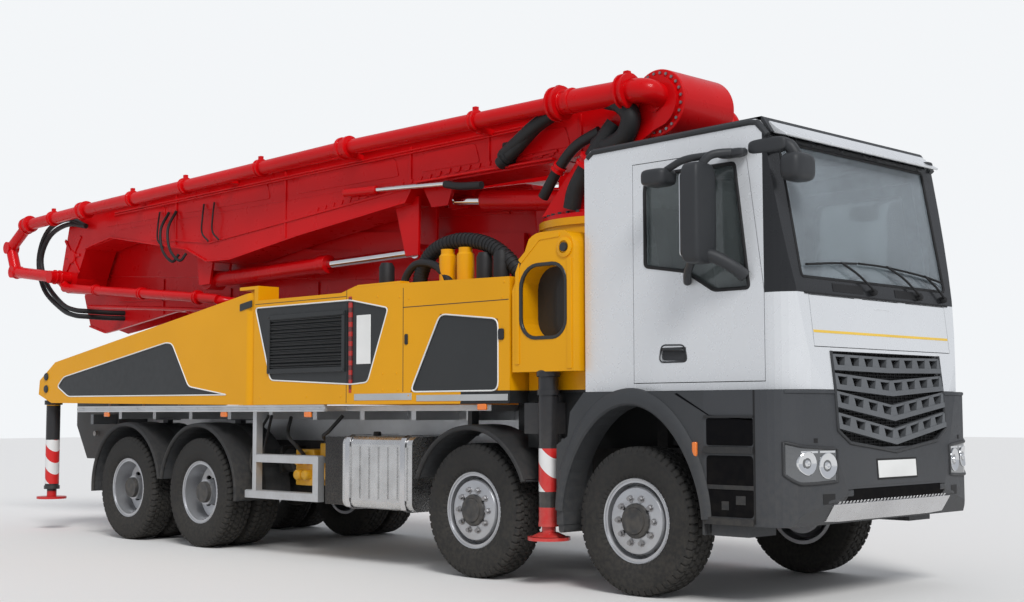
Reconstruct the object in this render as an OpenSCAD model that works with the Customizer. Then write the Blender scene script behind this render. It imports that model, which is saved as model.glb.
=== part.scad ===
// Four-axle concrete pump truck with a five-arm folding boom, parked for the road.
// Millimetres. +X is forward, +Z is up, Y = 0 is the middle of the chassis, the ground is z = 0.

/* [Chassis] */
// First steered axle, ahead of the origin
axle_1_x = 4780; // [4700:10:4860]
// Distance between the two steered axles
steer_spread = 1700; // [1650:10:1750]
// Distance from the first steered axle to the first driven axle
wheelbase = 5600; // [5560:10:5640]
// Distance between the two driven axles
tandem_spread = 1350; // [1320:10:1400]
// Height of the axle centres above the ground, which is the tyre radius
tyre_r = 540; // [520:5:545]
// Top of the chassis rails
rail_top = 1050; // [1040:5:1060]
// Height of a chassis rail
rail_h = 300; // [280:5:310]
// Outer face of a chassis rail, from the middle
rail_y = 425; // [420:1:430]
// Wall of a chassis rail
rail_wall = 10; // [6:1:14]

/* [Wheels] */
// Width of one tyre
tyre_w = 300; // [280:5:310]
// Radius of the rim's bead seat
rim_r = 290; // [280:2:300]
// Middle of a steered tyre, from the middle of the chassis
steer_track_y = 1060; // [1055:1:1070]
// Middle of an outer driven tyre, from the middle of the chassis
drive_track_y = 1080; // [1075:1:1090]
// Distance between the middles of twin tyres
twin_pitch = 340; // [335:1:350]
// Radius of a steered wheel's spindle
spindle_r = 45; // [38:1:50]
// Kingpin, inboard of the steered tyre's middle
kingpin_in = 190; // [188:1:196]
// Number of hand holes in a rim
hand_holes = 10; // [6:1:10]

/* [Cab] */
// Rear wall of the cab
cab_rear_x = 4270; // [4262:1:4290]
// Half the width of the cab
cab_half_w = 1150; // [1140:1:1160]
// Underside of the cab
cab_floor_z = 1480; // [1470:1:1490]
// Thickness of the cab's walls and doors
cab_wall = 55; // [45:1:65]
// Front edge of the doors
door_front_x = 5900; // [5880:5:5920]
// Rear edge of the doors
door_rear_x = 4750; // [4700:5:4800]
// Half the width of the bumper and the front mudguards
bumper_half_w = 1250; // [1245:1:1255]

/* [Body] */
// Half the width of the body
body_half_w = 1250; // [1245:1:1255]
// Depth of a side cabinet
cabinet_depth = 390; // [370:5:400]
// Top of the side cabinets
body_top = 2420; // [2400:5:2430]
// Underside of the side cabinets
body_bottom = 1400; // [1398:1:1404]
// Middle of the jack legs behind the cab
front_leg_x = 3900; // [3890:1:3905]
// Radius of a jack leg
leg_r = 78; // [60:1:84]
// Underside of the jack feet above the ground
foot_z = 350; // [300:5:400]
// Hinge of the rear swing legs
swing_x = 0; // [-20:5:20]
// Width of a rear swing leg
swing_w = 240; // [220:2:244]

/* [Boom] */
// Turning axis of the turret
slew_x = 3580; // [3570:1:3590]
// Top of the slew ring
slew_top = 2920; // [2915:1:2925]
// Pivot of the first arm, along the truck
luff_x = 4420; // [4410:1:4430]
// Pivot of the first arm, above the ground
luff_z = 3780; // [3775:1:3790]
// Radius of the first arm's pivot barrel
barrel_r = 270; // [255:1:275]
// Right face of the first arm
arm_1_y = -400; // [-405:1:-395]
// Width of the first arm
arm_1_w = 420; // [400:2:424]
// Right face of the second and third arms
arm_2_y = 90; // [85:1:95]
// Width of the second and third arms
arm_2_w = 300; // [280:2:310]
// Right face of the fourth and fifth arms
arm_4_y = 500; // [495:1:505]
// Width of the fourth and fifth arms
arm_4_w = 280; // [260:2:290]
// Outer radius of the delivery pipe
pipe_r = 70; // [66:1:74]
// Inner radius of the delivery pipe
pipe_bore_r = 62; // [58:1:63]

/* [Hidden] */

// Sides of the truck, as the sign of y
LEFT = 1;
RIGHT = -1;
// Gap between a piece and its seat
seat = 0.3;
// Gap round a moving panel
panel_gap = 6;
// Facets of a round face
$fn = 48;

axle_x = [axle_1_x, axle_1_x - steer_spread, axle_1_x - wheelbase, axle_1_x - wheelbase - tandem_spread];
rail_bottom = rail_top - rail_h;
rail_front = 6030;
rail_rear = -3080;
kingpin_y = steer_track_y - kingpin_in;
cabinet_y = body_half_w - cabinet_depth;
pipe_ring_r = pipe_r + 18;

// Points of an arc in the plane, n steps from angle a to angle b
function arc(c, r, a, b, n) = [for (i = [0:n]) c + r * [cos(a + (b - a) * i / n), sin(a + (b - a) * i / n)]];

// A flat outline in x and z, carried along y from y0 to y1
module side_plate(y0, y1) {
    translate([0, y1, 0]) rotate([90, 0, 0]) linear_extrude(height = y1 - y0) children();
}

// A cylinder along y at a point given in x and z
module cross_pin(at, r, y0, y1) {
    translate([at[0], y0, at[1]]) rotate([-90, 0, 0]) cylinder(r = r, h = y1 - y0);
}

// A round bar between two points
module bar(p, q, r) {
    v = q - p;
    translate(p) rotate([0, acos(v[2] / norm(v)), atan2(v[1], v[0])]) cylinder(r = r, h = norm(v));
}

// A box between two corners
module block(p, q) {
    translate(p) cube(q - p);
}

// The same piece on the left as it is, or mirrored to the right
module on_side(side) {
    if (side == LEFT) children();
    else mirror([0, 1, 0]) children();
}

// Chassis: two rails with flanges turned in, and cross members between them
rail_flange = 80;
// Cab mounts on the rails
cab_mount_x = [4420, 5960];
cross_x = [5985, 3700, 2500, 1500, 500, -3030];

module rail() {
    difference() {
        block([rail_rear, rail_y - rail_flange, rail_bottom], [rail_front, rail_y, rail_top]);
        block([rail_rear - 1, rail_y - rail_flange - 1, rail_bottom + rail_wall],
              [rail_front + 1, rail_y - rail_wall, rail_top - rail_wall]);
    }
}

module chassis_frame() {
    color("dimgray") {
        for (side = [LEFT, RIGHT]) on_side(side) rail();
        for (x = cross_x) difference() {
            block([x - 40, -rail_y + 1, rail_bottom + 30], [x + 40, rail_y - 1, rail_top - 30]);
            block([x - 28, -rail_y + rail_flange + 60, rail_bottom], [x + 28, rail_y - rail_flange - 60, rail_top - 50]);
        }
        for (x = cab_mount_x, s = [-1, 1]) block([x - 50, s * (rail_y - 40) - 35, rail_top - 1],
                                                 [x + 50, s * (rail_y - 40) + 35, cab_floor_z - seat]);
    }
}

// Engine and gearbox as one plain mass below the cab
module engine() {
    color("dimgray") union() {
        block([4700, -rail_y + rail_flange + 5, 650], [5900, rail_y - rail_flange - 5, 1400]);
        block([4000, -230, 700], [4701, 230, 1040]);
        for (x = [4900, 5600]) block([x, -rail_y + 10, rail_top + seat], [x + 120, rail_y - 10, rail_top + 50]);
    }
}

// Axles: steered beams with kingpin eyes, driven housings with spindles, leaf springs and shackles
spring_w = 80;
spring_y = rail_y - rail_flange / 2;
beam_top = tyre_r + 55;
beam_bottom = tyre_r - 58;
eye_r = 52;
kingpin_r = 24;
eye_h = 120;

module steered_beam(x) {
    eye_y = kingpin_y;
    difference() {
        union() {
            block([x - 50, -eye_y + 45, beam_bottom], [x + 50, eye_y - 45, beam_top]);
            for (s = [-1, 1]) translate([x, s * eye_y, tyre_r - eye_h / 2]) cylinder(r = eye_r, h = eye_h);
        }
        for (s = [-1, 1]) {
            translate([x, s * eye_y, 0]) cylinder(r = kingpin_r + seat, h = 2 * tyre_r);
            for (f = [-1, 1]) translate([x + f * 36, 0, tyre_r - 10])
                cube([32, 2 * eye_y - 320, 80], center = true);
        }
    }
    for (s = [-1, 1]) leaf_spring(x, s * spring_y, 700, beam_top, 1);
}

// A pack of leaves from the seat on the axle up to the hangers under the rail
module leaf_spring(x, y, half, seat_z, up) {
    rise = rail_bottom - seat_z - 60;
    side_plate(y - spring_w / 2, y + spring_w / 2) polygon([
        [x - half, seat_z + rise], [x - half / 2, seat_z + 12], [x - 120, seat_z], [x + 120, seat_z],
        [x + half / 2, seat_z + 12], [x + half, seat_z + rise], [x + half, rail_bottom],
        [x + half - 70, rail_bottom], [x + half - 70, seat_z + rise + 20], [x + half / 2, seat_z + 62],
        [x, seat_z + 95], [x - half / 2, seat_z + 62], [x - half + 70, seat_z + rise + 20],
        [x - half + 70, rail_bottom], [x - half, rail_bottom]]);
}

housing_r = 75;
drive_spindle_r = 60;
drive_inner_y = drive_track_y - twin_pitch;

module driven_axle(x) {
    cross_pin([x, tyre_r], housing_r, -drive_inner_y + 175, drive_inner_y - 175);
    cross_pin([x, tyre_r], drive_spindle_r, -drive_track_y - 20, drive_track_y + 20);
    translate([x, 0, tyre_r]) scale([1, 1, 1]) sphere(r = 185);
}

module axles() {
    mid = (axle_x[2] + axle_x[3]) / 2;
    color("dimgray") {
        for (i = [0, 1]) steered_beam(axle_x[i]);
        union() {
            for (i = [2, 3]) driven_axle(axle_x[i]);
            for (s = [-1, 1]) {
                for (i = [2, 3]) block([axle_x[i] - 60, s * spring_y - 45, tyre_r - 60],
                                       [axle_x[i] + 60, s * spring_y + 45, tyre_r + 100]);
                side_plate(s * spring_y - spring_w / 2, s * spring_y + spring_w / 2) polygon([
                    [axle_x[3] - 60, tyre_r + 80], [axle_x[2] + 60, tyre_r + 80], [axle_x[2] - 100, tyre_r + 130],
                    [mid + 120, tyre_r + 170], [mid + 120, rail_bottom], [mid - 120, rail_bottom],
                    [mid - 120, tyre_r + 170], [axle_x[3] + 100, tyre_r + 130]]);
            }
            bar([axle_x[3], 0, tyre_r + 60], [axle_x[2], 0, tyre_r + 60], 45);
            bar([axle_x[2], 0, tyre_r + 60], [3990, 0, 720], 45);
        }
    }
}

// Wheels, drawn about the origin with +Y outboard, then set on their axle
shoulder = 38;
flange_r = rim_r + 16;
rim_w = 230;

module tyre_ring(mid_y) {
    translate([0, mid_y, 0]) rotate([-90, 0, 0]) rotate_extrude($fn = 72) polygon([
        [rim_r + seat, -rim_w / 2 + 16], [flange_r + 2, -rim_w / 2 + 16], [flange_r + 2, -rim_w / 2 - 12],
        [tyre_r - 150, -tyre_w / 2], [tyre_r - 70, -tyre_w / 2], [tyre_r - 22, -tyre_w / 2 + 14],
        [tyre_r, -tyre_w / 2 + shoulder], [tyre_r, tyre_w / 2 - shoulder], [tyre_r - 22, tyre_w / 2 - 14],
        [tyre_r - 70, tyre_w / 2], [tyre_r - 150, tyre_w / 2], [flange_r + 2, rim_w / 2 + 12],
        [flange_r + 2, rim_w / 2 - 16], [rim_r + seat, rim_w / 2 - 16]]);
}

// Outline of half a rim's barrel with its two flanges
module rim_barrel(mid_y) {
    translate([0, mid_y, 0]) rotate([-90, 0, 0]) rotate_extrude($fn = 72) polygon([
        [rim_r - 14, -rim_w / 2], [flange_r, -rim_w / 2], [flange_r, -rim_w / 2 + 12], [rim_r, -rim_w / 2 + 12],
        [rim_r, rim_w / 2 - 12], [flange_r, rim_w / 2 - 12], [flange_r, rim_w / 2], [rim_r - 14, rim_w / 2]]);
}

disc_hole_r = 30;
hand_hole_ring = 212;
stud_ring = 142;

// A disc with hand holes between the barrel and the hub
module rim_disc(y0, dish) {
    difference() {
        translate([0, y0, 0]) rotate([-90, 0, 0]) rotate_extrude($fn = 72) polygon([
            [100, 0], [175, 0], [rim_r - 8, -dish], [rim_r - 8, -dish + 16], [175, 18], [100, 18]]);
        for (i = [0:hand_holes - 1]) rotate([0, i * 360 / hand_holes, 0])
            translate([hand_hole_ring, y0 - dish - 40, 0]) rotate([-90, 0, 0])
                cylinder(r = disc_hole_r, h = dish + 100, $fn = 24);
    }
}

module steered_rim() {
    difference() {
        union() {
            rim_barrel(0);
            rim_disc(70, 60);
            cross_pin([0, 0], 120, -118, 100);
            cross_pin([0, 0], 78, 99, 150);
            cross_pin([0, 0], 215, -118, -30);
            for (i = [0:9]) rotate([0, i * 36, 0]) cross_pin([stud_ring, 0], 14, 80, 118);
        }
        cross_pin([0, 0], spindle_r + seat, -200, 110);
    }
}

module driven_rim() {
    difference() {
        union() {
            rim_barrel(0);
            rim_barrel(-twin_pitch);
            rim_disc(-twin_pitch / 2 + 30, -60);
            rim_disc(-twin_pitch / 2 - 48, 60);
            cross_pin([0, 0], 125, -twin_pitch - 120, 60);
            cross_pin([0, 0], 100, 59, 95);
            cross_pin([0, 0], 215, -twin_pitch - 120, -twin_pitch + 60);
            for (i = [0:9]) rotate([0, i * 36, 0])
                cross_pin([stud_ring + 8, 0], 14, -twin_pitch / 2 + 30, -twin_pitch / 2 + 78);
        }
        cross_pin([0, 0], drive_spindle_r + seat, -twin_pitch - 200, 40);
        cross_pin([0, 0], housing_r + 5, -twin_pitch - 200, -twin_pitch - 100);
    }
}

module tyre(axle, side) {
    steered = axle <= 2;
    color([0.05, 0.05, 0.05]) on_side(side)
        translate([axle_x[axle - 1], steered ? steer_track_y : drive_track_y, tyre_r]) {
            tyre_ring(0);
            if (!steered) tyre_ring(-twin_pitch);
        }
}

module rim(axle, side) {
    steered = axle <= 2;
    color("silver") on_side(side)
        translate([axle_x[axle - 1], steered ? steer_track_y : drive_track_y, tyre_r]) {
            if (steered) steered_rim();
            else driven_rim();
        }
}

// Knuckle: a fork on the kingpin, and the spindle that the wheel turns on
fork_h = 34;
module knuckle(axle, side) {
    x = axle_x[axle - 1];
    fork_z = eye_h / 2 + 1;
    color("dimgray") on_side(side) translate([x, kingpin_y, tyre_r]) union() {
        cylinder(r = kingpin_r, h = 2 * (fork_z + fork_h), center = true);
        for (f = [-1, 1]) translate([0, 0, f * (fork_z + fork_h / 2)]) union() {
            cylinder(r = eye_r, h = fork_h, center = true);
            translate([0, 32, 0]) cube([90, 62, fork_h], center = true);
        }
        difference() {
            block([-45, eye_r - 16, -fork_z - fork_h], [45, eye_r + 4, fork_z + fork_h]);
            translate([0, 0, -fork_z]) cylinder(r = eye_r + 1, h = 2 * fork_z);
        }
        cross_pin([0, 0], spindle_r, eye_r + 2, kingpin_in + 100);
    }
}

// Deck, its two long bearers on the rails, and the rail along each side
deck_z = 1340;
deck_t = 50;
deck_front = 3100;
deck_rear = -3150;

module deck() {
    color("silver") union() {
        block([deck_rear, -1000, deck_z], [deck_front, 1000, deck_z + deck_t]);
        for (s = [-1, 1]) {
            block([deck_rear, s * 340 - 45, rail_top], [deck_front, s * 340 + 45, deck_z + 1]);
            block([deck_rear, min(s * 999, s * body_half_w), deck_z], [1230, max(s * 999, s * body_half_w), deck_z + deck_t]);
        }
        for (x = [-2900:700:2700]) block([x, -900, deck_z - 80], [x + 60, 900, deck_z + 1]);
    }
}

// Pump: two delivery cylinders and a water box between the rails
module pump_unit() {
    color("goldenrod") union() {
        for (s = [-1, 1]) bar([-2980, s * 150, 900], [-150, s * 150, 900], 100);
        block([-1100, -290, 790], [-700, 290, 1035]);
        block([-2990 + seat, -290, 790], [-2900, 290, 1035]);
        block([-260, -290, 790], [-140, 290, 1035]);
    }
}

// Front leg beams run across the truck, one behind the other, in a box on the rails
beam_w = 220;
beam_z = [1160, 1400];
beam_x = [3640, 3940];
beam_inner_y = 1000;
beam_gap = 6;
box_x = [3560, 4240];
box_y = 1040;
box_top = 1480;
foot_r = 165;

module pedestal() {
    portal_y = [1020, body_half_w];
    color("goldenrod") difference() {
        union() {
            block([box_x[0], -box_y, rail_top], [box_x[1], box_y, box_top]);
            block([3120, -700, rail_top], [box_x[0] + 1, 700, box_top]);
            translate([slew_x, 0, box_top - 1]) cylinder(r = 470, h = slew_top - box_top - 90);
            translate([slew_x, 0, slew_top - 140]) cylinder(r = 620, h = 80);
            translate([slew_x, 0, slew_top - 61]) cylinder(r = 640, h = 61);
            for (s = [-1, 1]) {
                side_plate(min(s * portal_y[0], s * portal_y[1]), max(s * portal_y[0], s * portal_y[1]))
                    polygon(concat([[3590, 1640], [4240, 1640]], arc([4110, 2590], 130, 0, 90, 5),
                                   arc([3900, 2520], 200, 90, 130, 3), [[3590, 2280]]));
                block([3700, min(s * 400, s * 1030), 1640], [4180, max(s * 400, s * 1030), 1760]);
                block([3700, min(s * 400, s * 1030), 2540], [4180, max(s * 400, s * 1030), 2640]);
                side_plate(min(s * 1020, s * 1060), max(s * 1020, s * 1060))
                    polygon([[3590, box_top - 1], [4240, box_top - 1], [4240, 1641], [3590, 1641]]);
            }
        }
        for (s = [-1, 1]) side_plate(min(s * 1000, s * 1300), max(s * 1000, s * 1300))
            polygon(concat(arc([4020, 2330], 140, 0, 90, 6), arc([3860, 2290], 180, 90, 180, 6),
                           arc([3840, 2060], 160, 180, 270, 6), arc([4020, 2040], 140, 270, 360, 6)));
        block([beam_x[0] - beam_gap, -box_y - 1, beam_z[0] - seat],
              [beam_x[0] + beam_w + beam_gap, beam_inner_y + 20, beam_z[1] + beam_gap]);
        block([beam_x[1] - beam_gap, -beam_inner_y - 20, beam_z[0] - seat],
              [beam_x[1] + beam_w + beam_gap, box_y + 1, beam_z[1] + beam_gap]);
    }
}

// A jack leg with its foot, hanging from z = top
module jack(at, top) {
    translate([at[0], at[1], foot_z + 130]) cylinder(r = leg_r, h = top - foot_z - 130);
    translate([at[0], at[1], foot_z + 20]) cylinder(r = leg_r - 24, h = 120);
    translate([at[0], at[1], foot_z]) cylinder(r = foot_r, h = 25);
}

leg_y = body_half_w - leg_r - 5;
front_leg_top = 1610;

// Front leg: its beam, the bracket and the jack. The right one runs ahead of the left one's.
module front_leg(side) {
    x0 = side == LEFT ? beam_x[1] : beam_x[0];
    color([0.12, 0.12, 0.13]) on_side(side) union() {
        block([x0, -beam_inner_y, beam_z[0]], [x0 + beam_w, leg_y - leg_r + 20, beam_z[1]]);
        block([min(x0, front_leg_x - leg_r), leg_y - leg_r - 30, beam_z[0]],
              [max(x0 + beam_w, front_leg_x + leg_r), leg_y, beam_z[1]]);
        jack([front_leg_x, leg_y], front_leg_top);
    }
}

// Rear swing leg: a long box that tapers to the jack, turning about a pin at its front end
swing_y = body_half_w - swing_w / 2;
swing_pin_r = 50;
rear_leg_x = -3950;
kink_x = 250;
tip_top = [-3710, 1900];
strap_z = body_top + 82;
function swing_top(x) = tip_top[1] + (x - tip_top[0]) * (strap_z - tip_top[1]) / (kink_x - tip_top[0]);

module rear_leg(side) {
    color("goldenrod") on_side(side) difference() {
        union() {
            side_plate(body_half_w - swing_w, body_half_w) polygon([
                [-4080, 1540], [-3780, body_bottom + 40], [swing_x, body_bottom], [swing_x, swing_top(swing_x)],
                tip_top, [-4060, 1700]]);
            intersection() {
                translate([swing_x, swing_y, body_bottom]) cylinder(r = swing_w / 2, h = 1200);
                side_plate(body_half_w - swing_w, body_half_w) polygon([
                    [swing_x - 150, body_bottom], [swing_x + 150, body_bottom],
                    [swing_x + 150, swing_top(swing_x + 150)], [swing_x - 150, swing_top(swing_x - 150)]]);
            }
            jack([rear_leg_x, swing_y], 1560);
        }
        translate([swing_x, swing_y, body_bottom - 1]) cylinder(r = swing_pin_r + seat, h = 1300);
        side_plate(body_half_w - 12, body_half_w + 1) polygon([
            [-3650, 1625], [-3400, 1510], [-300, 1500], [-980, 1590], [-1290, 2030], [-1400, 2045], [-3510, 1730]]);
    }
}

// Fixed cabinets along both sides, with recessed panels, a louvre field and the swing leg's hinge pin
cabinet_rear = swing_x + swing_w / 2 + 12;
cabinet_front = 3560;
louvre_x = [400, 1470];
louvre_z = [1730, 2195];
louvre_n = 12;
recess = 14;

module body_sides() {
    pitch = (louvre_z[1] - louvre_z[0]) / louvre_n;
    color("goldenrod") for (side = [LEFT, RIGHT]) on_side(side) union() {
        difference() {
            side_plate(cabinet_y, body_half_w) polygon([
                [cabinet_rear, body_bottom], [cabinet_front, body_bottom], [cabinet_front, body_top - 20],
                [1650, body_top + 20], [1450, body_top - 30], [kink_x + 60, body_top - 30],
                [kink_x - 40, body_top - 30], [cabinet_rear, body_top - 30]]);
            side_plate(body_half_w - recess, body_half_w + 1) polygon([
                [150, 2320], [1570, 2320], [2090, 2225], [1820, 1590], [1600, 1575], [400, 1630]]);
            side_plate(body_half_w - recess, body_half_w + 1) polygon([
                [2380, 1500], [3430, 1500], [3430, 2070], [2750, 2140]]);
            block([louvre_x[0], body_half_w - 60, louvre_z[0]], [louvre_x[1], body_half_w + 1, louvre_z[1]]);
        }
        for (i = [0:louvre_n - 1]) side_louvre(louvre_z[0] + (i + 0.25) * pitch);
        translate([swing_x, swing_y, deck_z + deck_t]) cylinder(r = swing_pin_r, h = strap_z + 1 - deck_z - deck_t);
        block([swing_x - 110, body_half_w - swing_w, strap_z], [cabinet_rear + 60, body_half_w, strap_z + 30]);
        block([cabinet_rear, body_half_w - swing_w, body_top - 31], [cabinet_rear + 60, body_half_w, strap_z + 1]);
        block([swing_x - 110, body_half_w - swing_w, deck_z + deck_t], [swing_x + 110, body_half_w, body_bottom - seat]);
    }
}

module side_louvre(z) {
    translate([louvre_x[0] - 1, body_half_w - recess - 4, z]) rotate([-40, 0, 0])
        cube([louvre_x[1] - louvre_x[0] + 2, 6, 42]);
}

// Hopper at the rear, open at the top, with bearings for the agitator and a grate on its rim
hopper_x = [-4150, -3200];
hopper_half_w = 720;
hopper_top = 1500;
hopper_wall = 16;
agitator_z = 1090;
agitator_r = 30;

module hopper_form(t, top) {
    side_plate(-hopper_half_w + t, hopper_half_w - t) polygon([
        [hopper_x[0] + t, top], [hopper_x[0] + t, 1180], [-3900 + t, 800 + t],
        [-3450 - t, 800 + t], [hopper_x[1] - t, 1180], [hopper_x[1] - t, top]]);
}

module hopper() {
    color("goldenrod") difference() {
        union() {
            hopper_form(0, hopper_top);
            block([-3330, -290, 850], [rail_rear + 10 - seat, 290, 1030]);
            for (s = [-1, 1]) block([-3330, s * 380 - 40, 850], [rail_rear - seat, s * 380 + 40, rail_top - 5]);
        }
        hopper_form(hopper_wall, hopper_top + 1);
        cross_pin([-3675, agitator_z], agitator_r + seat, -hopper_half_w - 1, hopper_half_w + 1);
    }
}

grate_t = 30;
grate_hinge = [hopper_x[1] - 25, hopper_top + 22];
module hopper_grate() {
    color("goldenrod") union() {
        difference() {
            block([hopper_x[0], -hopper_half_w, hopper_top + seat], [hopper_x[1] - 40, hopper_half_w, hopper_top + grate_t]);
            block([hopper_x[0] + 40, -hopper_half_w + 40, hopper_top - 1],
                  [hopper_x[1] - 90, hopper_half_w - 40, hopper_top + grate_t + 1]);
        }
        for (i = [1:11]) translate([hopper_x[0] + 20, -hopper_half_w + i * 2 * hopper_half_w / 12 - 6, hopper_top + 4])
            cube([hopper_x[1] - hopper_x[0] - 90, 12, grate_t - 8]);
        cross_pin(grate_hinge, 16, -300, 300);
        block([hopper_x[1] - 60, -300, hopper_top + 14], [hopper_x[1] - 25, 300, hopper_top + grate_t]);
    }
}

module agitator() {
    color("dimgray") union() {
        cross_pin([-3675, agitator_z], agitator_r, -hopper_half_w - 40, hopper_half_w + 40);
        for (i = [0:5]) translate([-3675, -500 + i * 200, agitator_z]) rotate([0, i * 60, 0]) union() {
            translate([-20, -18, 0]) cube([40, 36, 190]);
            translate([-60, -45, 180]) cube([120, 90, 16]);
        }
    }
}

// Mudguards of axle 2 and of the driven axles, with brackets to the deck
guard_r = 650;
guard_t = 30;

module guard_arch(x, a, b, y0, y1) {
    side_plate(y0, y1) polygon(concat(
        arc([x, tyre_r], guard_r + guard_t, a, b, 20), arc([x, tyre_r], guard_r, b, a, 20)));
}

// Front mudguard: an outer skin with the arch cut out, and the liner behind it
arch_r = 655;
arch_rise = 185;
guard_front_x = axle_1_x + arch_r + 15;
liner_y = 1211;
// The left leg's beam slides out behind this edge
guard_rear_x = beam_x[1] + beam_w + 2 * beam_gap;

// The arch opening is taller than it is wide
function arch_line(r, a, b) = [for (p = arc([0, 0], 1, a, b, 24))
    [axle_1_x + r * p[0], tyre_r + (r + arch_rise * max(0, p[1])) * p[1]]];

module front_guard() {
    arch = arch_line(arch_r, -5, 185);
    side_plate(liner_y - 1, bumper_half_w) polygon(concat(
        arch, [[4060, 480], [4060, 1080], [guard_rear_x, 1146], [guard_rear_x + 28, 1330], [4340, cab_floor_z - 5],
               [guard_front_x, cab_floor_z - 5], [guard_front_x, 480]]));
    side_plate(1045, liner_y) polygon(concat(
        arch, arch_line(arch_r + 32, 185, -5)));
}

module mudguards() {
    color([0.1, 0.1, 0.11]) for (side = [LEFT, RIGHT]) on_side(side) {
        union() {
            guard_arch(axle_x[2], -5, 170, 600, body_half_w - 5);
            guard_arch(axle_x[3], 10, 185, 600, body_half_w - 5);
            for (i = [2, 3]) block([axle_x[i] - 50, 700, tyre_r + guard_r + 10], [axle_x[i] + 50, 760, deck_z - 80 - seat]);
            for (i = [2, 3]) block([axle_x[i] - 200, 700, deck_z - 90 - seat], [axle_x[i] + 200, 760, deck_z - 80 - seat]);
        }
        union() {
            guard_arch(axle_x[1], 22, 158, 880, body_half_w - 5);
            block([axle_x[1] - 300, 880, tyre_r + guard_r - 60], [axle_x[1] - 250, 960, deck_z - seat]);
        }
        front_guard();
    }
}

// Tanks hung beside the rails: ribbed on the face, with straps, and the dark box behind
tank_x = [1420, 2350];
tank_z = [490, 1120];
tank_y = [640, 1200];

module side_tanks() {
    r = 70;
    color("silver") for (side = [LEFT, RIGHT]) on_side(side) union() {
        translate([tank_x[0], 0, 0]) rotate([90, 0, 90]) linear_extrude(height = tank_x[1] - tank_x[0])
            polygon(concat(arc([tank_y[1] - r, tank_z[0] + r], r, -90, 0, 5), arc([tank_y[1] - r, tank_z[1] - r], r, 0, 90, 5),
                           [[tank_y[0], tank_z[1]], [tank_y[0], tank_z[0]]]));
        for (i = [0:6]) translate([tank_x[0] + 70 + i * 125, tank_y[1] - 2, tank_z[0] + 90])
            cube([50, 12, tank_z[1] - tank_z[0] - 180]);
        block([1150, 700, tank_z[0] + 20], [tank_x[0] + 1, 1180, tank_z[1] - 10]);
        for (x = [1500, 2250]) block([x - 40, rail_y + seat, 800], [x + 40, tank_y[0] + 1, 1000]);
    }
}

// Access steps between the tanks and the driven axles
module step_frames() {
    color("silver") for (side = [LEFT, RIGHT]) on_side(side) union() {
        block([-60, 1130, 520], [1070, 1200, 590]);
        block([60, 1130, 860], [1070, 1200, 930]);
        block([990, 1130, 521], [1070, 1200, 929]);
        block([60, 1130, 589], [120, 1200, deck_z - seat]);
        block([990, rail_y + seat, 870], [1070, 1131, 925]);
        block([60, rail_y + seat, 870], [120, 1131, 925]);
    }
}

// Cab and front: side outline and plan outline, each drawn in by t, meet in one form
roof_z = 3310;
function side_outline(t, z0) = [
    [cab_rear_x + t, z0], [6110 - t, z0], [6235 - t, 760], [6190 - t, 1480], [6110 - t, 2180],
    [5915 - t, 3250 - t], [5850 - t, 3345 - t], [4330 + t, roof_z - t], [cab_rear_x + t, roof_z - 60 - t]];
function plan_outline(t, w) = concat(
    [[cab_rear_x + t, w - t]], arc([5930, w - 260], 260 - t, 90, 25, 6),
    [[6240 - t, w - 620]], [[6240 - t, 620 - w]], arc([5930, 260 - w], 260 - t, -25, -90, 6),
    [[cab_rear_x + t, t - w]]);

module front_form(t, w, z0) {
    intersection() {
        side_plate(-w, w) polygon(side_outline(t, z0));
        linear_extrude(height = 4000) polygon(plan_outline(t, w));
    }
}

// Outline of a side door in x and z, drawn in by g, and of its window
function door_outline(g) = [
    [door_rear_x + g, cab_floor_z + 60 + g], [door_front_x - g, cab_floor_z + 60 + g],
    [door_front_x - g, 2160], [door_front_x - 140 - g, 3150 - g], [door_rear_x + g, 3150 - g]];
function window_outline(g) = concat([
    [door_rear_x + 110 + g, 2390 + g], [5230, 2330 + g], [5480, 2180 + g], [door_front_x - 120 - g, 2180 + g],
    [door_front_x - 230 - g, 3060 - g], [door_rear_x + 200, 3060 - g]],
    arc([door_rear_x + 170 + g, 3000 - g], 60, 90, 180, 3));

flap_z = [1775, 2125];
flap_half_w = 930;
glass_z = [2250, 3200];
glass_half_w = 985;

module cab_shell() {
    color("gainsboro") difference() {
        front_form(0, cab_half_w, 500);
        front_form(cab_wall, cab_half_w, 500 - 1);
        block([4000, -1400, 400], [6400, 1400, cab_floor_z]);
        for (s = [-1, 1]) side_plate(min(s * 900, s * 1300), max(s * 900, s * 1300)) polygon(door_outline(-panel_gap));
        block([5650, -glass_half_w, glass_z[0]], [6400, glass_half_w, glass_z[1]]);
        difference() {
            block([5900, -flap_half_w - panel_gap, flap_z[0] - panel_gap],
                  [6400, flap_half_w + panel_gap, flap_z[1] + panel_gap]);
            translate([-36, 0, 0]) front_form(0, cab_half_w, 500);
        }
        block([5700, -grille_half_w - seat, cab_floor_z - 1], [6400, grille_half_w + seat, grille_z[1] + seat]);
    }
}

module windscreen() {
    color([0.2, 0.25, 0.28, 0.5]) intersection() {
        block([5650, -glass_half_w + seat, glass_z[0] + seat], [6400, glass_half_w - seat, glass_z[1] - seat]);
        difference() {
            translate([-10, 0, 0]) front_form(0, cab_half_w, 500);
            translate([-24, 0, 0]) front_form(0, cab_half_w, 499);
        }
    }
}

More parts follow.
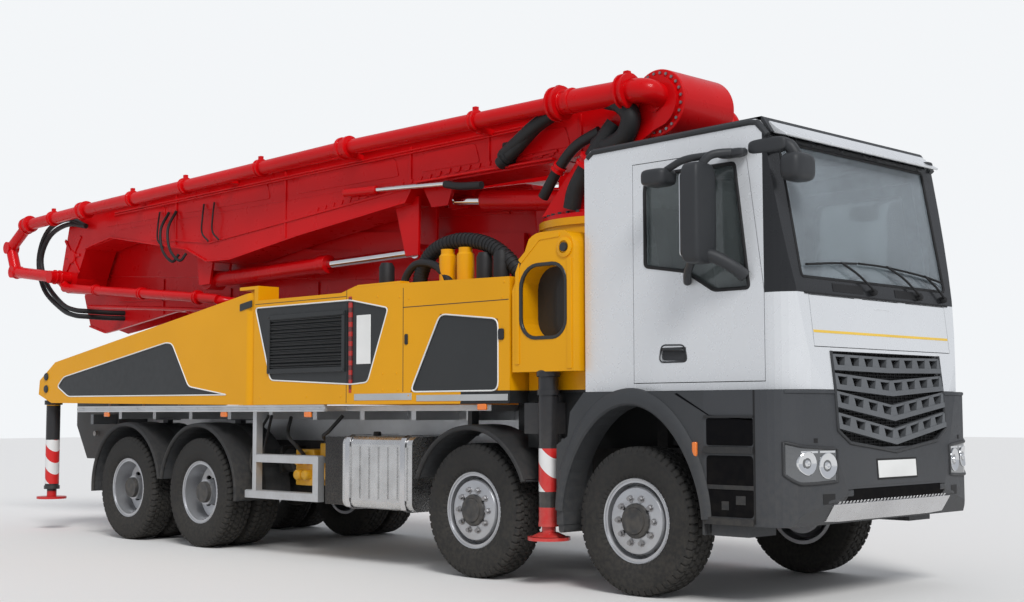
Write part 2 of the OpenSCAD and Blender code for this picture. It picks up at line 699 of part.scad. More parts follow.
// Cab floor, two seats, dashboard and steering wheel
module cab_interior() {
    floor_t = 40;
    color([0.2, 0.2, 0.22]) union() {
        block([cab_rear_x + cab_wall + seat, -cab_half_w + cab_wall + seat, cab_floor_z],
              [5930, cab_half_w - cab_wall - seat, cab_floor_z + floor_t]);
        block([5929, -1040, cab_floor_z], [5990, 1040, cab_floor_z + floor_t]);
        block([5660, -960, 1900], [5930, 960, 2180]);
        block([5800, -900, cab_floor_z + floor_t - 1], [5930, 900, 1901]);
        for (s = [-1, 1]) {
            block([4900, s * 600 - 200, cab_floor_z + floor_t - 1], [5300, s * 600 + 200, 1850]);
            block([4820, s * 600 - 260, 1849], [5400, s * 600 + 260, 1980]);
            side_plate(s * 600 - 250, s * 600 + 250)
                polygon([[4820, 1979], [4970, 1979], [4800, 2860], [4690, 2860]]);
        }
        bar([5670, 600, 2050], [5470, 600, 2208], 30);
        translate([5470, 600, 2208]) rotate([0, -52, 0]) rotate_extrude() translate([215, 0]) circle(r = 18);
        translate([5470, 600, 2208]) rotate([0, -52, 0]) cube([40, 430, 16], center = true);
    }
}

// Roof edge, sun visor, corner mirror and wipers
module cab_trim() {
    color([0.1, 0.1, 0.11]) union() {
        difference() {
            side_plate(-cab_half_w + 60, cab_half_w - 60) polygon([
                [5855, 3346], [5930, 3252], [6075, 3215], [6085, 3232], [5960, 3330], [5860, 3372]]);
            block([5700, -glass_half_w, 3000], [6400, glass_half_w, 3205]);
        }
        side_plate(-cab_half_w + 60, cab_half_w - 60) polygon([
            [4340, roof_z + 1], [5855, 3346], [5860, 3372], [4360, 3338]]);
        bar([6030, -980, 3260], [6160, -1080, 3190], 16);
        block([6110, -1160, 2960], [6210, -960, 3200]);
    }
}

// Bumper: the dark lower front with its wheel-arch edges, lamp pockets and lower slot
grille_z = [1080, 1745];
grille_half_w = 740;
lamp_z = [880, 1080];
lamp_y = [800, 1120];

module bumper() {
    edge_x = guard_front_x + seat;
    color([0.1, 0.1, 0.11]) union() {
        difference() {
            front_form(0, bumper_half_w, 560);
            front_form(60, bumper_half_w, 500);
            block([4000, -1400, cab_floor_z - 3], [6400, 1400, 4000]);
            block([4000, -1400, 400], [edge_x, 1400, 4000]);
            block([4000, -liner_y - seat, 400], [edge_x + 25, liner_y + seat, cab_floor_z - 100]);
            block([5700, -grille_half_w - seat, grille_z[0] - seat], [6400, grille_half_w + seat, cab_floor_z]);
            for (s = [-1, 1]) block([5900, min(s * lamp_y[0], s * lamp_y[1]), lamp_z[0]],
                                    [6400, max(s * lamp_y[0], s * lamp_y[1]), lamp_z[1]]);
            block([6000, -600, 690], [6400, 600, 800]);
        }
        for (s = [-1, 1]) {
            block([edge_x + 40, min(s * 900, s * 1220), 480], [5800, max(s * 900, s * 1220), 562]);
            block([edge_x + 40, min(s * 900, s * 1220), 860], [5800, max(s * 900, s * 1220), 900]);
            block([edge_x, min(s * 300, s * 1220), cab_floor_z - 60], [5500, max(s * 300, s * 1220), cab_floor_z - 6]);
        }
        block([rail_front + seat, -400, 700], [6200, 400, 1000]);
    }
}

// Grille: four rows of ports in a panel that follows the front
port_rows = 4;
port_cols = 14;
// Foot of each row at the middle, and how much higher it stands at the sides
port_z = [60, 215, 405, 560];
port_vee = [100, 90, 30, 0];
port_h = 72;
module grille() {
    pitch_y = 2 * (grille_half_w - 20) / port_cols;
    color([0.15, 0.16, 0.17]) difference() {
        intersection() {
            block([5700, -grille_half_w, grille_z[0]], [6400, grille_half_w, grille_z[1]]);
            front_form(0, cab_half_w, 500);
        }
        translate([-60, 0, 0]) front_form(0, cab_half_w, 499);
        for (r = [0:port_rows - 1], c = [0:port_cols - 1]) {
            y = -grille_half_w + 20 + (c + 0.5) * pitch_y;
            translate([5900, y - pitch_y / 2 + 12, grille_z[0] + port_z[r] + port_vee[r] * abs(y) / grille_half_w])
                cube([500, pitch_y - 24, port_h]);
        }
    }
}

module lamps() {
    color("white") {
        for (s = [-1, 1]) intersection() {
            block([5950, min(s * (lamp_y[0] + seat), s * (lamp_y[1] - seat)), lamp_z[0] + seat],
                  [6400, max(s * (lamp_y[0] + seat), s * (lamp_y[1] - seat)), lamp_z[1] - seat]);
            difference() {
                translate([-8, 0, 0]) front_form(0, bumper_half_w, 560);
                translate([-70, 0, 0]) front_form(0, bumper_half_w, 500);
            }
        }
        for (s = [-1, 1]) on_side(s) block([-3300, hopper_half_w + seat, 1200], [-3240, hopper_half_w + 300, 1310]);
    }
}

// Doors, hinged at their front edge, with the window frame cut through
module door(side) {
    color("gainsboro") on_side(side) difference() {
        intersection() {
            front_form(0, cab_half_w, 500);
            side_plate(900, 1300) polygon(door_outline(0));
        }
        front_form(cab_wall, cab_half_w, 499);
        side_plate(900, 1300) polygon(window_outline(0));
        block([5000, cab_half_w - 22, 1690], [5230, cab_half_w + 1, 1790]);
    }
}

module door_glass(side) {
    color([0.2, 0.25, 0.28, 0.5]) on_side(side)
        side_plate(cab_half_w - 34, cab_half_w - 26) polygon(window_outline(seat));
}

// Mirror on two arms from the door's front edge
module mirror_arm(side) {
    color([0.08, 0.08, 0.09]) on_side(side) union() {
        block([5690, 1260, 2320], [5790, 1500, 3030]);
        bar([5780, cab_half_w + seat + 9, 3080], [5760, 1300, 3020], 18);
        bar([5850, cab_half_w + seat + 9, 2350], [5770, 1300, 2380], 18);
    }
}

// Service flap below the windscreen, hinged along its top edge on two short pins
flap_pin = [6114, flap_z[1] + panel_gap / 2];
module front_flap() {
    color("gainsboro") union() {
        intersection() {
            block([5900, -flap_half_w, flap_z[0]], [6400, flap_half_w, flap_z[1]]);
            difference() {
                front_form(0, cab_half_w, 500);
                translate([-30, 0, 0]) front_form(0, cab_half_w, 499);
            }
        }
        for (s = [-1, 1]) {
            cross_pin(flap_pin, panel_gap / 2 - seat, s * 300 - 50, s * 300 + 50);
            block([flap_pin[0] - 2, s * 300 - 50, flap_z[1] - 1], [flap_pin[0] + 2, s * 300 + 50, flap_pin[1]]);
        }
    }
}

// Boom pivots in x and z, and the arms that run between them
luff = [luff_x, luff_z];
knee_2 = [-5000, 3000];
knee_3 = [2700, 2780];
knee_4 = [-4300, 3430];
knee_5 = [2600, 3600];
pin_r = 55;
plate_t = 45;
arm_1_end = arm_1_y + arm_1_w;
arm_2_end = arm_2_y + arm_2_w;
arm_4_end = arm_4_y + arm_4_w;
pipe_1_y = arm_1_y - 200;
barrel_y = [arm_1_y - 25, arm_1_end + 190];
cyl_y = arm_1_y + arm_1_w / 2;
cyl_foot = [3600, 3110];
cyl_eye = [1750, 3300];

module turret() {
    head = [barrel_y[0] - 10, barrel_y[1] + 10];
    color("firebrick") difference() {
        union() {
            translate([slew_x, 0, slew_top + seat]) cylinder(r = 610, h = 40);
            translate([slew_x, 0, slew_top + 39]) cylinder(r = 560, h = 30);
            for (y = [head[0] - plate_t, head[1]]) side_plate(y, y + plate_t)
                polygon(concat([[3190, slew_top + 60], [3950, slew_top + 60], [4054, 3350], [4200, 3450], [4420, 3560]],
                               arc(luff, 215, -60, 150, 14), [[3900, 3660], [3560, 3380]]));
            cross_pin(luff, 80, head[0] - plate_t - 15, head[1] + plate_t + 40);
            cross_pin([3960, 3160], 60, head[0] - 1, head[1] + 1);
            for (y = [cyl_y - 150, cyl_y + 110]) side_plate(y, y + 40)
                polygon([[3350, slew_top + 60], [3800, slew_top + 60], [3700, 3200], [3500, 3200]]);
            cross_pin(cyl_foot, 40, cyl_y - 150, cyl_y + 150);
            bar([4000, head[1] + 120, 3040], [4000, head[1] + 120, 3400], pipe_r);
            bar([4000, head[1] + 120, 3400], [luff_x, head[1] + 120, luff_z], pipe_r + 4);
            cross_pin(luff, pipe_r + 8, head[1] + plate_t, head[1] + 200);
            cross_pin([4000, 3040], pipe_r + 10, head[1] + 10, head[1] + 210);
        }
    }
}

module arm_1() {
    color("firebrick") difference() {
        union() {
            side_plate(arm_1_y, arm_1_end) polygon([
                [luff_x, luff_z + 150], [3900, 3900], [-4700, 3770], [-5020, 3640], [-5190, 3060], [-5120, 2870],
                [-4880, 2870], [-4600, 3330], [-3800, 3420], [1500, 3450], [3400, 3450], [4150, 3560], [luff_x, luff_z - 150]]);
            cross_pin(knee_2, 190, arm_1_y, arm_1_end);
            cross_pin(luff, barrel_r, barrel_y[0], barrel_y[1]);
            cross_pin(knee_2, pin_r, arm_1_end - 1, arm_2_end + 20);
            for (y = [cyl_y - 150, cyl_y + 110]) side_plate(y, y + 40)
                polygon([[1950, 3460], [1500, 3460], [1640, 3230], [1860, 3230]]);
            arm_1_pipe();
        }
        cross_pin(luff, 80 + seat, barrel_y[0] - 1, barrel_y[1] + 1);
    }
}

// Delivery pipe of the first arm: along its right side, round behind the knee and into the knee's axis
module arm_1_pipe() {
    pts = [[4330, pipe_1_y, 3870], [3600, pipe_1_y, 3890], [700, pipe_1_y, 3880], [-4300, pipe_1_y, 3760],
           [-5700, pipe_1_y, 3710], [-6150, pipe_1_y, 3450], [-6000, pipe_1_y, 3130], [-5000, pipe_1_y, 3000]];
    for (i = [0:len(pts) - 2]) bar(pts[i], pts[i + 1], pipe_r);
    for (p = pts) elbow_drum(p);
    for (x = [2500, 700, -1400, -3200]) block([x - 30, pipe_1_y + 30, 3780], [x + 30, arm_1_y + 1, 3830]);
    cross_pin(knee_2, pipe_r + 8, pipe_1_y - 20, arm_1_y + 1);
}

module arm_2() {
    lug = 40;
    color("firebrick") difference() {
        union() {
            side_plate(arm_2_y, arm_2_end) polygon([
                [-5000, 3180], [-4700, 3165], [2450, 2590], [2700, 2560], [2820, 2420], [2560, 2260], [-4700, 2790],
                [-5000, 2820]]);
            cross_pin(knee_2, 180, arm_2_y, arm_2_end);
            for (y = [arm_2_y, arm_2_end - lug]) {
                cross_pin(knee_3, 140, y, y + lug);
                side_plate(y, y + lug) polygon([[2530, 2560], [2800, 2440], [2840, 2780], [2570, 2840]]);
            }
            arm_pipe([[-4800, 240, 2700], [-2000, 240, 2490], [2350, 240, 2165]], [[-4300, 2780], [-1000, 2500], [1800, 2290]], 70);
        }
        cross_pin(knee_2, pin_r + seat, arm_2_y - 1, arm_2_end + 1);
        cross_pin(knee_3, pin_r + seat, arm_2_y - 1, arm_2_end + 1);
    }
}

// The clamped bend between two straights of a pipe
module elbow_drum(p) {
    translate(p) rotate([90, 0, 0]) cylinder(r = pipe_r + 7, h = 2 * pipe_r + 8, center = true);
}

// A pipe along an arm on short stays: the stays are named by x and the z where they meet the arm
module arm_pipe(pts, stays, reach) {
    for (i = [0:len(pts) - 2]) bar(pts[i], pts[i + 1], pipe_r);
    for (p = pts) elbow_drum(p);
    for (s = stays) block([s[0] - 25, pts[0][1] - 30, s[1] - reach], [s[0] + 25, pts[0][1] + 30, s[1] + reach]);
}

module arm_3() {
    inner = 50;
    color("firebrick") difference() {
        union() {
            side_plate(arm_2_y, arm_2_end) polygon([
                [2420, 2660], [2420, 2960], [-4250, 3570], [-4440, 3430], [-4330, 3290], [-4150, 3290]]);
            side_plate(arm_2_y + inner, arm_2_end - inner) polygon([
                [2400, 2680], [2690, 2670], [2690, 2890], [2400, 2950]]);
            cross_pin(knee_3, 125, arm_2_y + inner, arm_2_end - inner);
            cross_pin(knee_3, pin_r, arm_2_y - 15, arm_2_end + 15);
            cross_pin(knee_4, 150, arm_2_y, arm_2_end);
            cross_pin(knee_4, pin_r, arm_2_end - 1, arm_4_end + 20);
        }
    }
}

module arm_4() {
    lug = 38;
    color("firebrick") difference() {
        union() {
            side_plate(arm_4_y, arm_4_end) polygon([
                [-4300, 3560], [2330, 3430], [2640, 3400], [2720, 3300], [2500, 3190], [-4300, 3300]]);
            cross_pin(knee_4, 140, arm_4_y, arm_4_end);
            for (y = [arm_4_y, arm_4_end - lug]) {
                cross_pin(knee_5, 115, y, y + lug);
                side_plate(y, y + lug) polygon([[2470, 3400], [2700, 3330], [2712, 3610], [2488, 3620]]);
            }
            side_pipe([[-4200, 3400], [2400, 3300]]);
        }
        cross_pin(knee_4, pin_r + seat, arm_4_y - 1, arm_4_end + 1);
        cross_pin(knee_5, pin_r - 10 + seat, arm_4_y - 1, arm_4_end + 1);
    }
}

// Pipe on the left side of a narrow arm, from and to points in x and z
side_pipe_y = arm_4_end + pipe_r + 30;
module side_pipe(p) {
    v = p[1] - p[0];
    bar([p[0][0], side_pipe_y, p[0][1]], [p[1][0], side_pipe_y, p[1][1]], pipe_r);
    for (t = [0.08, 0.5, 0.92]) {
        c = p[0] + t * v;
        block([c[0] - 25, arm_4_end - 1, c[1] - 30], [c[0] + 25, side_pipe_y, c[1] + 30]);
    }
}

tip_x = -4280;
module arm_5() {
    inner = 48;
    color("firebrick") difference() {
        union() {
            side_plate(arm_4_y, arm_4_end) polygon([
                [2330, 3500], [2330, 3700], [-3900, 3780], [-4050, 3720], [-3900, 3640]]);
            side_plate(arm_4_y + inner, arm_4_end - inner) polygon([
                [2310, 3510], [2590, 3500], [2590, 3690], [2310, 3695]]);
            cross_pin(knee_5, 100, arm_4_y + inner, arm_4_end - inner);
            cross_pin(knee_5, pin_r - 10, arm_4_y - 15, arm_4_end + 15);
            side_pipe([[tip_x, 3710], [2300, 3600]]);
            translate([tip_x, side_pipe_y, 3710]) rotate([0, 89.04, 0]) cylinder(r = pipe_ring_r, h = 50);
        }
        translate([tip_x - 5, side_pipe_y, 3710]) rotate([0, 90.955, 0]) cylinder(r = pipe_bore_r, h = 320);
    }
}

// Luffing cylinder: its direction at rest, barrel on the turret, rod towards the arm
cyl_v = cyl_eye - cyl_foot;
cyl_len = norm(cyl_v);
cyl_tilt = atan2(cyl_v[1], -cyl_v[0]);
cyl_r = 95;
rod_r = 50;
barrel_len = 1400;

// Places a piece drawn along +X from the origin onto the cylinder's line, starting at its foot
module on_cylinder() {
    translate([cyl_foot[0], cyl_y, cyl_foot[1]]) rotate([0, 180 + cyl_tilt, 0]) children();
}

module luff_barrel() {
    color([0.75, 0.05, 0.05]) on_cylinder() difference() {
        union() {
            cross_pin([0, 0], 80, -60, 60);
            translate([60, 0, 0]) rotate([0, 90, 0]) cylinder(r = cyl_r, h = barrel_len - 60);
        }
        cross_pin([0, 0], 40 + seat, -200, 200);
        translate([200, 0, 0]) rotate([0, 90, 0]) cylinder(r = rod_r + seat, h = barrel_len);
    }
}

module luff_rod() {
    color("silver") on_cylinder() difference() {
        union() {
            translate([210, 0, 0]) rotate([0, 90, 0]) cylinder(r = rod_r, h = cyl_len - 230);
            cross_pin([cyl_len, 0], 75, -60, 60);
        }
        cross_pin([cyl_len, 0], 40, -200, 200);
    }
}

chassis_frame();
engine();
axles();
pump_unit();
deck();
pedestal();
body_sides();
hopper();
mudguards();
side_tanks();
step_frames();
cab_shell();
cab_trim();
windscreen();
cab_interior();
bumper();
grille();
lamps();
door(LEFT);  // door_left
door(RIGHT);  // door_right
door_glass(LEFT);  // door_glass_left
door_glass(RIGHT);  // door_glass_right
mirror_arm(LEFT);  // mirror_left
mirror_arm(RIGHT);  // mirror_right
front_flap();
hopper_grate();
agitator();
tyre(1, LEFT);  // tyre_1_left
tyre(1, RIGHT);  // tyre_1_right
tyre(2, LEFT);  // tyre_2_left
tyre(2, RIGHT);  // tyre_2_right
tyre(3, LEFT);  // tyre_3_left
tyre(3, RIGHT);  // tyre_3_right
tyre(4, LEFT);  // tyre_4_left
tyre(4, RIGHT);  // tyre_4_right
rim(1, LEFT);  // rim_1_left
rim(1, RIGHT);  // rim_1_right
rim(2, LEFT);  // rim_2_left
rim(2, RIGHT);  // rim_2_right
rim(3, LEFT);  // rim_3_left
rim(3, RIGHT);  // rim_3_right
rim(4, LEFT);  // rim_4_left
rim(4, RIGHT);  // rim_4_right
knuckle(1, LEFT);  // knuckle_1_left
knuckle(1, RIGHT);  // knuckle_1_right
knuckle(2, LEFT);  // knuckle_2_left
knuckle(2, RIGHT);  // knuckle_2_right
front_leg(LEFT);  // front_leg_left
front_leg(RIGHT);  // front_leg_right
rear_leg(LEFT);  // rear_leg_left
rear_leg(RIGHT);  // rear_leg_right
turret();
arm_1();
arm_2();
arm_3();
arm_4();
arm_5();
luff_barrel();
luff_rod();
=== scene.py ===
import math

import bmesh
import bpy
import numpy as np
from mathutils import Matrix, Vector


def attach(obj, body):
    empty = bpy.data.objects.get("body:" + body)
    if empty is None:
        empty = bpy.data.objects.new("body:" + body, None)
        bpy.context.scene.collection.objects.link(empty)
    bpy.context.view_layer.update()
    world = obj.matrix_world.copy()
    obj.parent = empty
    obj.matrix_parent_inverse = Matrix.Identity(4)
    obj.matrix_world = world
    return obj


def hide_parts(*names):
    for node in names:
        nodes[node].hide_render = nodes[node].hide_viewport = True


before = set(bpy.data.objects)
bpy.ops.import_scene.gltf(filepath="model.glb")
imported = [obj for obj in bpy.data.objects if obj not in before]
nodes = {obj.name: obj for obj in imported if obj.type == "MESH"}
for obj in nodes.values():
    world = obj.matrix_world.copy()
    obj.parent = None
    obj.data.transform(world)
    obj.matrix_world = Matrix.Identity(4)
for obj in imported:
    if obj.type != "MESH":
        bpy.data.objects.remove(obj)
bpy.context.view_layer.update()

# Camera: low down, ahead of the truck on its right, where the photograph was taken.
# The azimuth, height and focal length were solved from the wheels.
azimuth, elevation, roll = (math.radians(a) for a in (44.639, -4.324, -0.106))
look = Vector((-math.sin(azimuth) * math.cos(elevation), math.cos(azimuth) * math.cos(elevation),
               -math.sin(elevation)))
level = Vector((math.cos(azimuth), math.sin(azimuth), 0))
upward = level.cross(look)
right = level * math.cos(roll) + upward * math.sin(roll)
camera_data = bpy.data.cameras.new("camera")
camera_data.lens, camera_data.sensor_width, camera_data.clip_end = 51.36, 36.0, 300.0
camera = bpy.data.objects.new("camera", camera_data)
bpy.context.scene.collection.objects.link(camera)
turn = Matrix((right, right.cross(look), -look)).transposed().to_4x4()
camera.matrix_world = Matrix.Translation((11.6527, -9.4173, 1.3339)) @ turn
bpy.context.scene.camera = camera
bpy.context.scene.view_settings.view_transform = "Standard"

# Studio: an even pale surround and one large soft lamp from the front right, over a pale floor.
# The camera and the glass see the surround a little whiter than it lights.
world = bpy.data.worlds.new("studio")
bpy.context.scene.world = world
world.use_nodes = True


def node(tree, kind, *inputs, **settings):
    """A shader node with its sockets set or linked in order; gives its first output."""
    made = tree.nodes.new("ShaderNode" + kind)
    for key, value in settings.items():
        setattr(made, key, value)
    for place, value in enumerate(inputs):
        if isinstance(value, bpy.types.NodeSocket):
            tree.links.new(value, made.inputs[place])
        elif value is not None:
            made.inputs[place].default_value = value
    return made.outputs[0]


rays = world.node_tree.nodes.new("ShaderNodeLightPath").outputs
seen = node(world.node_tree, "Math", rays["Is Camera Ray"], rays["Is Transmission Ray"], operation="MAXIMUM")
sky = node(world.node_tree, "MixRGB", seen, (0.52, 0.54, 0.58, 1), (0.90, 0.92, 0.94, 1))
world.node_tree.links.new(sky, world.node_tree.nodes["Background"].inputs["Color"])
lamp_data = bpy.data.lights.new("softbox", "SUN")
lamp_data.energy, lamp_data.angle = 2.0, math.radians(20)
lamp = bpy.data.objects.new("softbox", lamp_data)
lamp.rotation_euler = Vector((-0.62, 0.40, -0.68)).to_track_quat("-Z", "Y").to_euler()
bpy.context.scene.collection.objects.link(lamp)
floor_mesh = bpy.data.meshes.new("floor")
floor_mesh.from_pydata([(-60, -60, 0), (60, -60, 0), (60, 60, 0), (-60, 60, 0)], [], [(0, 1, 2, 3)])
floor = bpy.data.objects.new("floor", floor_mesh)
floor.location.z = -0.002
floor_finish = bpy.data.materials.new("floor")
floor_finish.use_nodes = True
floor_finish.node_tree.nodes["Principled BSDF"].inputs["Base Color"].default_value = (0.80, 0.79, 0.77, 1)
floor_finish.node_tree.nodes["Principled BSDF"].inputs["Roughness"].default_value = 0.9
floor_mesh.materials.append(floor_finish)
bpy.context.scene.collection.objects.link(floor)


# Chassis: steel rails, cross members, axles, springs and the engine block below the cab.
# Rolled and cast steel, all under one dull black paint that holds road dust low down.
def surface(name, colour, rough, metallic=0.0, coat=0.0, mottle=(1.5, 0.10), grain=(350.0, 0.05), dust=0.25,
            shine=0.28, paint=()):
    """A finish in object coordinates: slow noise times the colour, medium noise on roughness, fine noise
    as bump, and dust that thins out with height. Each paint is (low, high, colour) in x, |y| and z, and
    with (second colour, period, slope) added it is striped along z + slope * x."""
    made = bpy.data.materials.new(name)
    made.use_nodes = True
    tree = made.node_tree
    shader = tree.nodes["Principled BSDF"]
    place = tree.nodes.new("ShaderNodeTexCoord").outputs["Object"]
    split = tree.nodes.new("ShaderNodeSeparateXYZ")
    tree.links.new(place, split.inputs[0])
    x, y, z = split.outputs
    folded = node(tree, "CombineXYZ", x, node(tree, "Math", y, operation="ABSOLUTE"), z)
    base = (*colour, 1)
    for low, high, shade, *stripes in paint:
        low, high = np.array(low), np.array(high)
        offset = node(tree, "VectorMath", folded, tuple((low + high) / 2), operation="SUBTRACT")
        share = node(tree, "VectorMath", node(tree, "VectorMath", offset, operation="ABSOLUTE"),
                     tuple((high - low) / 2), operation="DIVIDE")
        parts = tree.nodes.new("ShaderNodeSeparateXYZ")
        tree.links.new(share, parts.inputs[0])
        far = node(tree, "Math", parts.outputs[0], parts.outputs[1], operation="MAXIMUM")
        far = node(tree, "Math", far, parts.outputs[2], operation="MAXIMUM")
        inside = node(tree, "Math", far, 1.0, operation="LESS_THAN")
        if stripes:
            second, period, slope = stripes
            along = node(tree, "Math", x, slope / period,
                         node(tree, "Math", z, 1 / period, operation="MULTIPLY"), operation="MULTIPLY_ADD")
            half = node(tree, "Math", node(tree, "Math", along, operation="FRACT"), 0.5,
                        operation="LESS_THAN")
            shade = node(tree, "MixRGB", half, (*shade, 1), (*second, 1))
        else:
            shade = (*shade, 1)
        base = node(tree, "MixRGB", inside, base, shade)
    slow = node(tree, "TexNoise", place, None, mottle[0], 3.0)
    medium = node(tree, "TexNoise", place, None, mottle[0] * 12, 4.0)
    light = node(tree, "MapRange", slow, 0.3, 0.7, 1 - mottle[1], 1 + mottle[1])
    base = node(tree, "MixRGB", 1.0, base, light, blend_type="MULTIPLY")
    if dust:
        low_down = node(tree, "MapRange", z, 0.25, 1.45, dust, 0.0)
        patchy = node(tree, "Math", low_down, node(tree, "MapRange", medium, 0.35, 0.65, 0.3, 1.3),
                      operation="MULTIPLY")
        base = node(tree, "MixRGB", patchy, base, (0.42, 0.36, 0.28, 1))
    tree.links.new(base, shader.inputs["Base Color"])
    tree.links.new(node(tree, "MapRange", medium, 0.3, 0.7, rough - 0.06, rough + 0.06),
                   shader.inputs["Roughness"])
    shader.inputs["Metallic"].default_value = metallic
    shader.inputs["Specular IOR Level"].default_value = shine
    shader.inputs["Coat Weight"].default_value = coat
    shader.inputs["Coat Roughness"].default_value = 0.06
    bump = tree.nodes.new("ShaderNodeBump")
    bump.inputs["Strength"].default_value = min(1.0, grain[1] * 3)
    bump.inputs["Distance"].default_value = 0.0015
    tree.links.new(node(tree, "TexNoise", place, None, grain[0], 2.0), bump.inputs["Height"])
    tree.links.new(bump.outputs[0], shader.inputs["Normal"])
    return made


def dress(finish, *names):
    """Gives CAD nodes their finish."""
    for name in names:
        nodes[name].data.materials.clear()
        nodes[name].data.materials.append(finish)


def piece(name, parts, finish, body, bevel=0.0, crease=38.0):
    """One mesh from (points, faces) parts: doubles merged, normals turned out, edges over the crease
    angle sharp, and rounded by the bevel where one is given. It rides on the body."""
    points = np.concatenate([np.asarray(p, float).reshape(-1, 3) for p, _ in parts])
    faces, start = [], 0
    for p, f in parts:
        if isinstance(f, np.ndarray):
            faces += (f + start).tolist()
        else:
            faces += [[i + start for i in face] for face in f]
        start += np.asarray(p).size // 3
    mesh = bpy.data.meshes.new(name)
    mesh.from_pydata(points.tolist(), [], faces)
    work = bmesh.new()
    work.from_mesh(mesh)
    bmesh.ops.remove_doubles(work, verts=work.verts, dist=1e-6)
    bmesh.ops.recalc_face_normals(work, faces=work.faces)
    work.to_mesh(mesh)
    work.free()
    mesh.shade_smooth()
    mesh.set_sharp_from_angle(angle=math.radians(crease))
    mesh.materials.append(finish)
    made = bpy.data.objects.new(name, mesh)
    bpy.context.scene.collection.objects.link(made)
    if bevel:
        rounding = made.modifiers.new("edges", "BEVEL")
        rounding.width, rounding.segments, rounding.limit_method = bevel, 2, "ANGLE"
        rounding.angle_limit = math.radians(crease)
    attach(made, body)
    return made


def both(parts):
    """The parts and their mirror images across the truck's middle plane."""
    return parts + [(np.asarray(p, float) * (1, -1, 1), f) for p, f in parts]


def skin(grid, wrap_u=False, wrap_v=False):
    """Quads over a grid of points [u, v]; a wrapped direction joins its last row to its first."""
    nu, nv = grid.shape[:2]
    u = np.arange(nu if wrap_u else nu - 1)[:, None]
    v = np.arange(nv if wrap_v else nv - 1)[None, :]
    a, b, c = u * nv, (u + 1) % nu * nv, (v + 1) % nv
    return grid.reshape(-1, 3), np.stack([a + v, b + v, b + c, a + c], -1).reshape(-1, 4)


def sheath(rings):
    """A skin over one closed ring of points per station, run in to the ring's middle at both ends."""
    ends = [np.repeat(rings[k].mean(0)[None, None], rings.shape[1], 1) for k in (0, -1)]
    return skin(np.concatenate([ends[0], rings, ends[1]]), wrap_v=True)


def prism(outline, low, high, axis="y"):
    """A flat outline carried along one axis from low to high and closed at both ends. The outline is in
    (x, z) for y, (y, z) for x and (x, y) for z."""
    outline = np.asarray(outline, float)
    n, k = len(outline), "xyz".index(axis)
    grid = np.zeros((2, n, 3))
    grid[:, :, [i for i in range(3) if i != k]] = outline
    grid[0, :, k], grid[1, :, k] = low, high
    sides = [[i, (i + 1) % n, n + (i + 1) % n, n + i] for i in range(n)]
    return grid.reshape(-1, 3), sides + [list(range(n)), list(range(2 * n - 1, n - 1, -1))]


def slab(low, high):
    """A box between two corners."""
    (x0, y0, z0), (x1, y1, z1) = low, high
    return prism([(x0, z0), (x1, z0), (x1, z1), (x0, z1)], y0, y1)


def curve(points, steps):
    """Catmull-Rom curve through the points, with steps stations to each span."""
    p = np.asarray(points, float)
    q = np.vstack([2 * p[0] - p[1], p, 2 * p[-1] - p[-2]])
    t = np.linspace(0, 1, steps, endpoint=False)[None, :, None]
    a, b, c, d = (q[i:len(q) - 3 + i, None] for i in range(4))
    s = (2 * b + (c - a) * t + (2 * a - 5 * b + 4 * c - d) * t ** 2 + (3 * b - a - 3 * c + d) * t ** 3) / 2
    return np.vstack([s.reshape(-1, 3), p[-1:]])


def tube(points, radius, sides=14, steps=6, closed=False):
    """A round section carried along the curve: centre + radius * (cos t * side + sin t * up), where up is
    square to the plane that fits the curve best. Open ends run in to their centres."""
    line = curve(points, steps) if steps > 1 else np.asarray(points, float)
    if closed:
        ahead = np.roll(line, -1, 0) - np.roll(line, 1, 0)
    else:
        ahead = np.gradient(line, axis=0)
    ahead /= np.linalg.norm(ahead, axis=1)[:, None]
    flat = np.linalg.svd(line - line.mean(0))[2][2]
    side = np.cross(ahead, flat)
    side /= np.linalg.norm(side, axis=1)[:, None]
    up = np.cross(side, ahead)
    t = np.linspace(0, 2 * math.pi, sides, endpoint=False)[None, :, None]
    radius = np.broadcast_to(np.asarray(radius, float), len(line))[:, None, None]
    grid = line[:, None] + radius * (np.cos(t) * side[:, None] + np.sin(t) * up[:, None])
    return skin(grid, True, True) if closed else sheath(grid)


def turned(profile, centre, axis="y", count=32, closed=False):
    """A profile of (radius, distance along the axis) turned about that axis through the centre."""
    r, h = np.asarray(profile, float).T
    t = np.linspace(0, 2 * math.pi, count, endpoint=False)[:, None]
    k = "xyz".index(axis)
    grid = np.zeros((count, len(r), 3))
    grid[..., (k + 1) % 3], grid[..., (k + 2) % 3], grid[..., k] = r * np.cos(t), r * np.sin(t), h
    return skin(grid + np.asarray(centre, float), wrap_u=True, wrap_v=closed)


def stud(centre, radius, foot, rim, crown, axis="y", count=10, taper=0.0):
    """A round head on an axis, from its foot to its rim, with a low cone up to the crown."""
    return turned([(0, foot), (radius, foot), (radius - taper, rim), (0, crown)], centre, axis, count)


def rounded(outline, radius, steps=4):
    """The outline with each corner turned into a curve that leaves its edges that far from the corner."""
    p = np.asarray(outline, float)
    legs = []
    for step in (1, -1):
        leg = np.roll(p, step, 0) - p
        length = np.linalg.norm(leg, axis=1)[:, None]
        legs.append(p + leg / length * np.minimum(radius, length * 0.45))
    t = np.linspace(0, 1, steps + 1)[None, :, None]
    path = (1 - t) ** 2 * legs[0][:, None] + 2 * t * (1 - t) * p[:, None] + t ** 2 * legs[1][:, None]
    return path.reshape(-1, 2)


def oblong(low, high, radius, steps=4):
    """A rectangle between two corners, its own corners rounded."""
    (a0, b0), (a1, b1) = low, high
    return rounded([(a0, b0), (a1, b0), (a1, b1), (a0, b1)], radius, steps)


